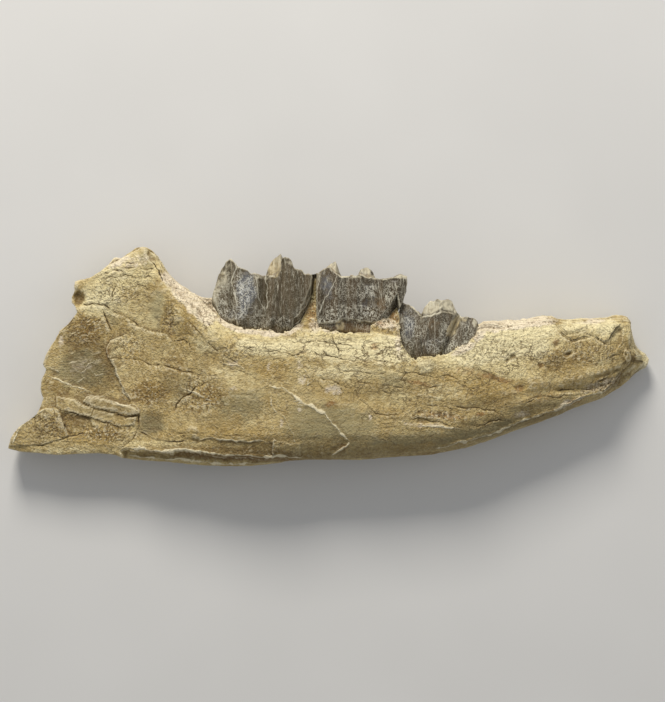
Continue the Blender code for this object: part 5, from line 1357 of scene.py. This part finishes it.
def makeBoneMaterial():
    look = boneLook
    material, tree, surface, place = newMaterial("fossil_bone")
    masks = dict(zip(("brown", "green", "cream", "pink"), readMasks(tree, "stains")))
    masks.update(zip(("gold", "shade", "light"), readMasks(tree, "tonesAndPaintedLight")))
    pitted, crazed, masks["rust"], smooth = readMasks(tree, "textures")
    crackAway, crackStrength, paleAway, paleStrength = readMasks(tree, "lines")
    stands = readStored(tree, "bulge")["Fac"]
    places, spots = makePatterns(tree, place, look)

    colour = mixColours(tree, spots["broad"]["Mask"], look["tan"], look["paleTan"])
    colour = tint(tree, colour, spots["mottle"]["Mask"], 0.4, look["darkTan"])
    colour = layColours(tree, colour, place, masks, look)
    colour = tint(tree, colour, spots["streak"]["Mask"], 0.28, look["darkTan"])

    # Pits and sparks, fewer where the bone is smooth
    rough = combine(tree, "SUBTRACT", 1.0, combine(tree, "MULTIPLY", smooth, 0.55))
    cover = combine(tree, "MULTIPLY", combine(tree, "MULTIPLY_ADD", pitted, 0.6, 0.25), rough)
    pits = combine(tree, "MULTIPLY", wormMarks(tree, place, 1.5, 0.06), cover)
    colour = mixColours(tree, pits, colour, look["pit"])
    colour = tint(tree, colour, spots["dots"]["Mask"], cover, look["pit"])
    sparkShare = combine(tree, "MULTIPLY", rough, combine(tree, "MULTIPLY_ADD", pitted, 0.3, 0.22))
    colour = tint(tree, colour, spots["sparks"]["Mask"], sparkShare, look["paleLine"])
    # Painted shade, together with darker bone, multiplied in from the shade patches
    shade = combine(tree, "MULTIPLY", raggedMask(tree, place, masks["shade"], 4.0, 0.6), 0.8)
    colour = mixColours(tree, shade, colour, look["shade"], "MULTIPLY")

    # Nets of fine cracks, then the cracks and pale lines that have a place of their own
    net = combine(tree, "MULTIPLY", crazing(tree, places["wide"], *look["fineNet"]), crazed)
    broadShare = combine(tree, "MULTIPLY_ADD", crazed, 0.5, 0.4)
    broadNet = combine(tree, "MULTIPLY", crazing(tree, places["wide"], *look["broadNet"]), broadShare)
    net = combine(tree, "MULTIPLY", combine(tree, "MAXIMUM", net, broadNet), spots["breaks"]["Mask"])
    colour = tint(tree, colour, net, 0.85, look["pit"])
    crack = hairline(tree, place, crackAway, crackStrength, look["crackWidth"])
    colour = tint(tree, colour, crack["Halo"], 0.25, look["darkTan"])
    colour = mixColours(tree, crack["Line"], colour, look["crack"])
    pale = hairline(tree, place, paleAway, paleStrength, look["paleLineWidth"])
    colour = tint(tree, colour, pale["Line"], 0.8, look["paleLine"])

    # Painted shade in the fine hollows and painted highlight on what stands out
    colour = mixColours(tree, remap(tree, stands, 0.0, -0.9, 0.0, 0.6), colour, look["pit"])
    colour = mixColours(tree, remap(tree, stands, 0.1, 0.9, 0.0, 0.45), colour, look["paleLine"])
    tree.links.new(colour, surface.inputs["Base Color"])
    matt, sheen = look["roughness"]
    tree.links.new(remap(tree, smooth, 0.0, 1.0, matt, sheen), surface.inputs["Roughness"])
    surface.inputs["Specular IOR Level"].default_value = look["specular"]

    dotHeight = combine(tree, "MULTIPLY_ADD", rough, -1.2, -0.1)
    height = combine(tree, "MULTIPLY", spots["dots"]["Value"], dotHeight)
    parts = [(spots["sparks"]["Value"], combine(tree, "MULTIPLY", rough, 0.6)), (pits, -0.9),
             (spots["mottle"]["Value"], 0.9), (net, -0.7), (crack["Line"], -1.2), (pale["Line"], 0.5)]
    addBump(tree, surface, height, parts, look["bumpDistance"])
    return material


enamelShades = {
    "molar_m3": {"dark": (0.054, 0.040, 0.019, 1), "light": (0.105, 0.084, 0.047, 1)},
    "molar_m2": {"dark": (0.034, 0.023, 0.010, 1), "light": (0.068, 0.052, 0.028, 1)},
    "molar_m1": {"dark": (0.048, 0.037, 0.020, 1), "light": (0.105, 0.088, 0.055, 1)},
}
enamelLook = {
    "pale": (0.68, 0.62, 0.45, 1),
    "rim": (0.74, 0.68, 0.50, 1),
    "blue": (0.115, 0.12, 0.13, 1),
    "tan": (0.56, 0.46, 0.26, 1),
    "dentine": (0.25, 0.185, 0.10, 1),
    "neck": (0.135, 0.082, 0.034, 1),
    "warm": (0.12, 0.078, 0.036, 1),
    "white": (0.70, 0.67, 0.54, 1),
    "blueWhite": (0.62, 0.65, 0.70, 1),
    "layers": [("dentine", 1.4, 1.0, 0.9), ("blue", 1.6, 1.0, 0.85), ("neck", 1.0, 1.0, 0.9),
               ("pale", 1.1, 1.0, 0.85), ("tan", 1.0, 1.0, 0.85)],
    "stretches": {"upright": (2.2, 0.22, 0.8), "tall": (1.0, 0.7, 1.0), "scratched": (4.6, 0.4, 1.0)},
    "flecks": {"striae": ("upright", 1.0, 0.52, 0.14), "cloud": ("plain", 3.2, 0.5, 0.16),
               "warm": ("upright", 3.6, 0.5, 0.12), "gaps": ("plain", 1.5, 0.52, 0.06),
               "dots": ("plain", 0.32, 0.57, 0.03), "specks": ("tall", 0.8, 0.55, 0.06),
               "smear": ("upright", 2.4, 0.5, 0.1), "scratches": ("scratched", 1.0, 0.61, 0.03),
               "rubbed": ("plain", 2.8, 0.5, 0.12)},
    "net": (1.15, 0.1),
    "curls": (1.25, 0.05),
    "lineWidth": 0.29,
    "roughness": (0.44, 0.68),
    "specular": 0.36,
    "coat": {"Coat Weight": 0.04, "Coat Roughness": 0.25},
    "bumpDistance": 0.00009,
}


def makeEnamelMaterial(name):
    look = dict(enamelLook, **enamelShades[name])
    material, tree, surface, place = newMaterial(name + "_enamel")
    masks = dict(zip(("pale", "blue", "tan", "neck"), readMasks(tree, "stains")))
    speckled, wear, masks["dentine"], cusps = readMasks(tree, "textures")
    lineAway, lineStrength, _, _ = readMasks(tree, "lines")
    stands = readStored(tree, "bulge")["Fac"]
    places, spots = makePatterns(tree, place, look)

    colour = mixColours(tree, spots["striae"]["Mask"], look["dark"], look["light"])
    colour = tint(tree, colour, spots["cloud"]["Mask"], 0.45, look["dark"])
    colour = tint(tree, colour, spots["warm"]["Mask"], 0.4, look["warm"])
    colour = layColours(tree, colour, place, masks, look)

    # White net, curls and dots where the enamel is speckled
    net = combine(tree, "MULTIPLY", crazing(tree, places["tall"], *look["net"]), spots["gaps"]["Mask"])
    net = combine(tree, "MAXIMUM", net, wormMarks(tree, places["tall"], *look["curls"]))
    net = combine(tree, "MULTIPLY", net, speckled)
    netColour = tint(tree, look["white"], masks["blue"], 0.7, look["blueWhite"])
    colour = tint(tree, colour, net, 0.85, netColour)
    dotShare = combine(tree, "MULTIPLY_ADD", speckled, 0.42, 0.16)
    colour = tint(tree, colour, spots["dots"]["Mask"], dotShare, look["white"])

    # Dark specks on the pale places, smears on the cusps, scratches, hairlines and worn edges
    bright = combine(tree, "MAXIMUM", masks["pale"], masks["tan"])
    speckShare = combine(tree, "MULTIPLY", bright, 0.45)
    colour = tint(tree, colour, spots["specks"]["Mask"], speckShare, look["neck"])
    smearShare = combine(tree, "MULTIPLY", cusps, 0.6)
    colour = tint(tree, colour, spots["smear"]["Mask"], smearShare, look["light"])
    scratchShare = combine(tree, "MULTIPLY_ADD", spots["rubbed"]["Mask"], 0.42, 0.14)
    colour = tint(tree, colour, spots["scratches"]["Mask"], scratchShare, look["white"])
    line = hairline(tree, place, lineAway, lineStrength, look["lineWidth"])["Line"]
    colour = tint(tree, colour, line, 0.85, look["white"])
    colour = tint(tree, colour, raggedMask(tree, place, wear, 0.9, 0.9), 0.7, look["rim"])
    # Painted shade in the fine hollows and painted highlight on what stands out
    colour = mixColours(tree, remap(tree, stands, 0.0, -0.9, 0.0, 0.5), colour, look["dark"])
    colour = mixColours(tree, remap(tree, stands, 0.2, 0.9, 0.0, 0.35), colour, look["pale"])
    tree.links.new(colour, surface.inputs["Base Color"])

    gloss, matt = look["roughness"]
    dull = combine(tree, "MAXIMUM", bright, combine(tree, "MULTIPLY", spots["dots"]["Mask"], 0.6))
    tree.links.new(remap(tree, dull, 0.0, 1.0, gloss, matt), surface.inputs["Roughness"])
    surface.inputs["Specular IOR Level"].default_value = look["specular"]
    for setting, value in look["coat"].items():
        surface.inputs[setting].default_value = value

    height = combine(tree, "MULTIPLY", spots["dots"]["Value"], 0.5)
    parts = [(spots["striae"]["Value"], 0.6), (net, 0.3), (line, 0.4)]
    addBump(tree, surface, height, parts, look["bumpDistance"])
    return material


jawBone.data.materials.append(makeBoneMaterial())


# Crumbs of rock matrix held in the corners around the teeth and on the pale fill

crumbs = {
    "perSquareMetre": 900000.0,
    "sizes": (0.16, 0.52),
    "thinnest": (0.7, 0.7, 0.6),
    "thickest": (1.5, 1.1, 1.0),
    "turn": (0.6, 0.6, 6.28),
    "seed": 7,
    # Where they lie: x, y, half length, half height, turn, strength
    "patches": [(-20, 8.2, 14, 1.6, 0, 0.7), (-5, 13, 1.6, 6, 0, 0.9), (5, 7.6, 9, 1.5, 0, 0.5),
                (16.5, 11.5, 4.5, 2.4, 20, 0.9), (21.3, 11, 1.4, 8, 0, 0.9), (-4.9, 18, 1.2, 3, 0, 1),
                (30, -0.6, 8, 1.6, 0, 0.5), (42, 4.4, 5, 2, 35, 0.8), (-44, 17.5, 9, 2.2, -40, 0.7),
                (52, 8.6, 11, 2.6, 2, 0.5), (46, 3, 7, 3.4, 0, 0.35), (13.7, 3, 2.4, 1.6, 0, 0.5),
                (62, 2, 10, 3, 0, 0.2)],
}


def makeScatterTree():
    tree = bpy.data.node_groups.new("crumbScatter", "GeometryNodeTree")
    for name, kind in (("Geometry", "Geometry"), ("Density", "Float"), ("Smallest", "Float"),
                       ("Largest", "Float"), ("Seed", "Int"), ("Material", "Material")):
        tree.interface.new_socket(name, in_out="INPUT", socket_type="NodeSocket" + kind)
    tree.interface.new_socket("Geometry", in_out="OUTPUT", socket_type="NodeSocketGeometry")
    start = tree.nodes.new("NodeGroupInput").outputs
    end = tree.nodes.new("NodeGroupOutput").inputs

    cover = addNode(tree, "GeometryNodeInputNamedAttribute", {"Name": "cover"}, data_type="FLOAT")
    density = combine(tree, "MULTIPLY", cover.outputs["Attribute"], start["Density"])
    spots = addNode(tree, "GeometryNodeDistributePointsOnFaces",
                    {"Mesh": start["Geometry"], "Density": density, "Seed": start["Seed"]}).outputs
    grain = addNode(tree, "GeometryNodeMeshIcoSphere", {"Radius": 1.0, "Subdivisions": 1})
    size = addNode(tree, "FunctionNodeRandomValue",
                   {"Min": start["Smallest"], "Max": start["Largest"], "Seed": start["Seed"]},
                   data_type="FLOAT")
    stretch = addNode(tree, "FunctionNodeRandomValue",
                      {"Min": crumbs["thinnest"], "Max": crumbs["thickest"]}, data_type="FLOAT_VECTOR")
    scale = addNode(tree, "ShaderNodeVectorMath", {0: stretch.outputs[0], "Scale": size.outputs[1]},
                    operation="SCALE")
    turn = addNode(tree, "FunctionNodeRandomValue", {"Min": (0, 0, 0), "Max": crumbs["turn"]},
                   data_type="FLOAT_VECTOR")
    turned = addNode(tree, "FunctionNodeRotateRotation",
                     {"Rotation": spots["Rotation"], "Rotate By": turn.outputs[0]})
    laid = addNode(tree, "GeometryNodeInstanceOnPoints",
                   {"Points": spots["Points"], "Instance": grain.outputs["Mesh"],
                    "Rotation": turned.outputs[0], "Scale": scale.outputs[0]})
    real = addNode(tree, "GeometryNodeRealizeInstances", {"Geometry": laid.outputs["Instances"]})
    coated = addNode(tree, "GeometryNodeSetMaterial",
                     {"Geometry": real.outputs[0], "Material": start["Material"]})
    tree.links.new(coated.outputs[0], end["Geometry"])
    return tree


def scatterCrumbs():
    # Crumbs on the outer side of a copy of the bone, as a plain mesh
    ground = jawBone.data.copy()
    points = readPoints(ground) / mm
    cover = patchMask(crumbs["patches"], points[:, 0], points[:, 1])
    above = points[:, 2] - readSection("middle", points[:, 0])
    storeValues(ground, "cover", cover ** 2 * smoothStep(1, 4, above))
    source = newObject("crumb_ground", ground)
    modifier = source.modifiers.new("crumbs", "NODES")
    tree = modifier.node_group = makeScatterTree()
    sockets = {item.name: item.identifier for item in tree.interface.items_tree if item.in_out == "INPUT"}
    smallest, largest = crumbs["sizes"]
    values = {"Density": crumbs["perSquareMetre"], "Smallest": smallest * mm, "Largest": largest * mm,
              "Seed": crumbs["seed"], "Material": jawBone.data.materials[0]}
    for name, value in values.items():
        modifier[sockets[name]] = value
    bpy.context.view_layer.update()
    made = bpy.data.meshes.new_from_object(source.evaluated_get(bpy.context.evaluated_depsgraph_get()))
    bpy.data.objects.remove(source)
    return made


def makeCrumbs():
    made = scatterCrumbs()
    made.name = "matrix_crumbs_surface"
    points = insideBox(readPoints(made) / mm)
    x, y = points[:, 0], points[:, 1]
    for name in ("stains", "textures", "lines", "bulge", "cover"):
        if name in made.attributes:
            made.attributes.remove(made.attributes[name])
    cream = 0.55 + 0.35 * softNoise(points, 1.2, 91)
    none = np.zeros_like(x)
    storeColours(made, "stains", (none, none, cream, patchMask(stains["pink"], x, y)))
    storeColours(made, "textures", (none, none, patchMask(stains["rust"], x, y) * 0.6, none))
    storeColours(made, "lines", (none + 3, none, none + 3, none))
    storeValues(made, "bulge", none)
    writePoints(made, points * mm)
    return newObject("matrix_crumbs", made)


matrixCrumbs = makeCrumbs()
print("crumbs:", len(matrixCrumbs.data.polygons), "faces")
for name, molar in molars.items():
    molar.data.materials.append(makeEnamelMaterial(name))
print("materials made")


# Stage, light and camera

stage = {
    # The width of the view, its middle and the height at which it is measured, all in millimetres
    "viewWidth": 206.52,
    "middle": (0.776, 1.739),
    "planeHeight": 11,
    "imageSize": (665, 702),
    # The rest is in metres, apart from the sensor's millimetres
    "cameraHeight": 0.62,
    "sensor": 24,
    "floorHalfWidth": 2.5,
    "floorTones": ((0.66, 0.655, 0.64, 1), (0.69, 0.685, 0.67, 1)),
    "floorClouds": (60.0, 0.5, 0.3),
    "floorRoughness": 0.8,
    "skyTone": (0.9, 0.92, 0.95, 1),
    "skyStrength": 0.35,
    "lampTarget": (0, 0, 0.01),
    # Power, size, place and colour
    "lamps": {
        "keyLight": (8.2, 0.32, (-0.15, 0.75, 0.5), (1, 0.955, 0.88)),
        "fillLight": (0.7, 0.9, (-0.7, -0.5, 0.9), (1, 1, 1)),
        "sideLight": (0.8, 0.6, (0.9, 0.2, 0.7), (1, 1, 1)),
    },
}


def makeCamera():
    width, height = stage["imageSize"]
    viewHeight = stage["viewWidth"] * height / width * mm
    lens = bpy.data.cameras.new("camera")
    lens.sensor_fit = "VERTICAL"
    lens.sensor_height = stage["sensor"]
    lens.lens = stage["sensor"] * stage["cameraHeight"] / viewHeight
    lens.clip_start = 0.01
    camera = newObject("camera", lens)
    middleX, middleY = stage["middle"]
    camera.location = (middleX * mm, middleY * mm, stage["planeHeight"] * mm + stage["cameraHeight"])
    bpy.context.scene.camera = camera


def makeLight(name, power, size, location, colour):
    lamp = bpy.data.lights.new(name, "AREA")
    lamp.energy = power
    lamp.size = size
    lamp.color = colour
    light = newObject(name, lamp)
    light.location = location
    away = Vector(stage["lampTarget"]) - Vector(location)
    light.rotation_euler = away.to_track_quat("-Z", "Y").to_euler()


def makeSky():
    world = bpy.data.worlds.new("studio")
    world.use_nodes = True
    sky = world.node_tree.nodes["Background"].inputs
    sky["Color"].default_value = stage["skyTone"]
    sky["Strength"].default_value = stage["skyStrength"]
    bpy.context.scene.world = world


def makeFloor():
    mesh = bpy.data.meshes.new("floor")
    half = stage["floorHalfWidth"]
    corners = [(-half, -half, 0), (half, -half, 0), (half, half, 0), (-half, half, 0)]
    mesh.from_pydata(corners, [], [(0, 1, 2, 3)])
    material, tree, surface, place = newMaterial("pale_floor")
    cloud = flecks(tree, place, *stage["floorClouds"])
    tree.links.new(mixColours(tree, cloud["Mask"], *stage["floorTones"]), surface.inputs["Base Color"])
    surface.inputs["Roughness"].default_value = stage["floorRoughness"]
    mesh.materials.append(material)
    return newObject("floor", mesh)


makeCamera()
for name, lamp in stage["lamps"].items():
    makeLight(name, *lamp)
makeSky()
bpy.context.scene.view_settings.view_transform = "Standard"
floor = makeFloor()

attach(jawBone, "root")
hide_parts("jaw_bone")
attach(matrixCrumbs, "root")
for name, molar in molars.items():
    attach(molar, "root")
    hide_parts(name)
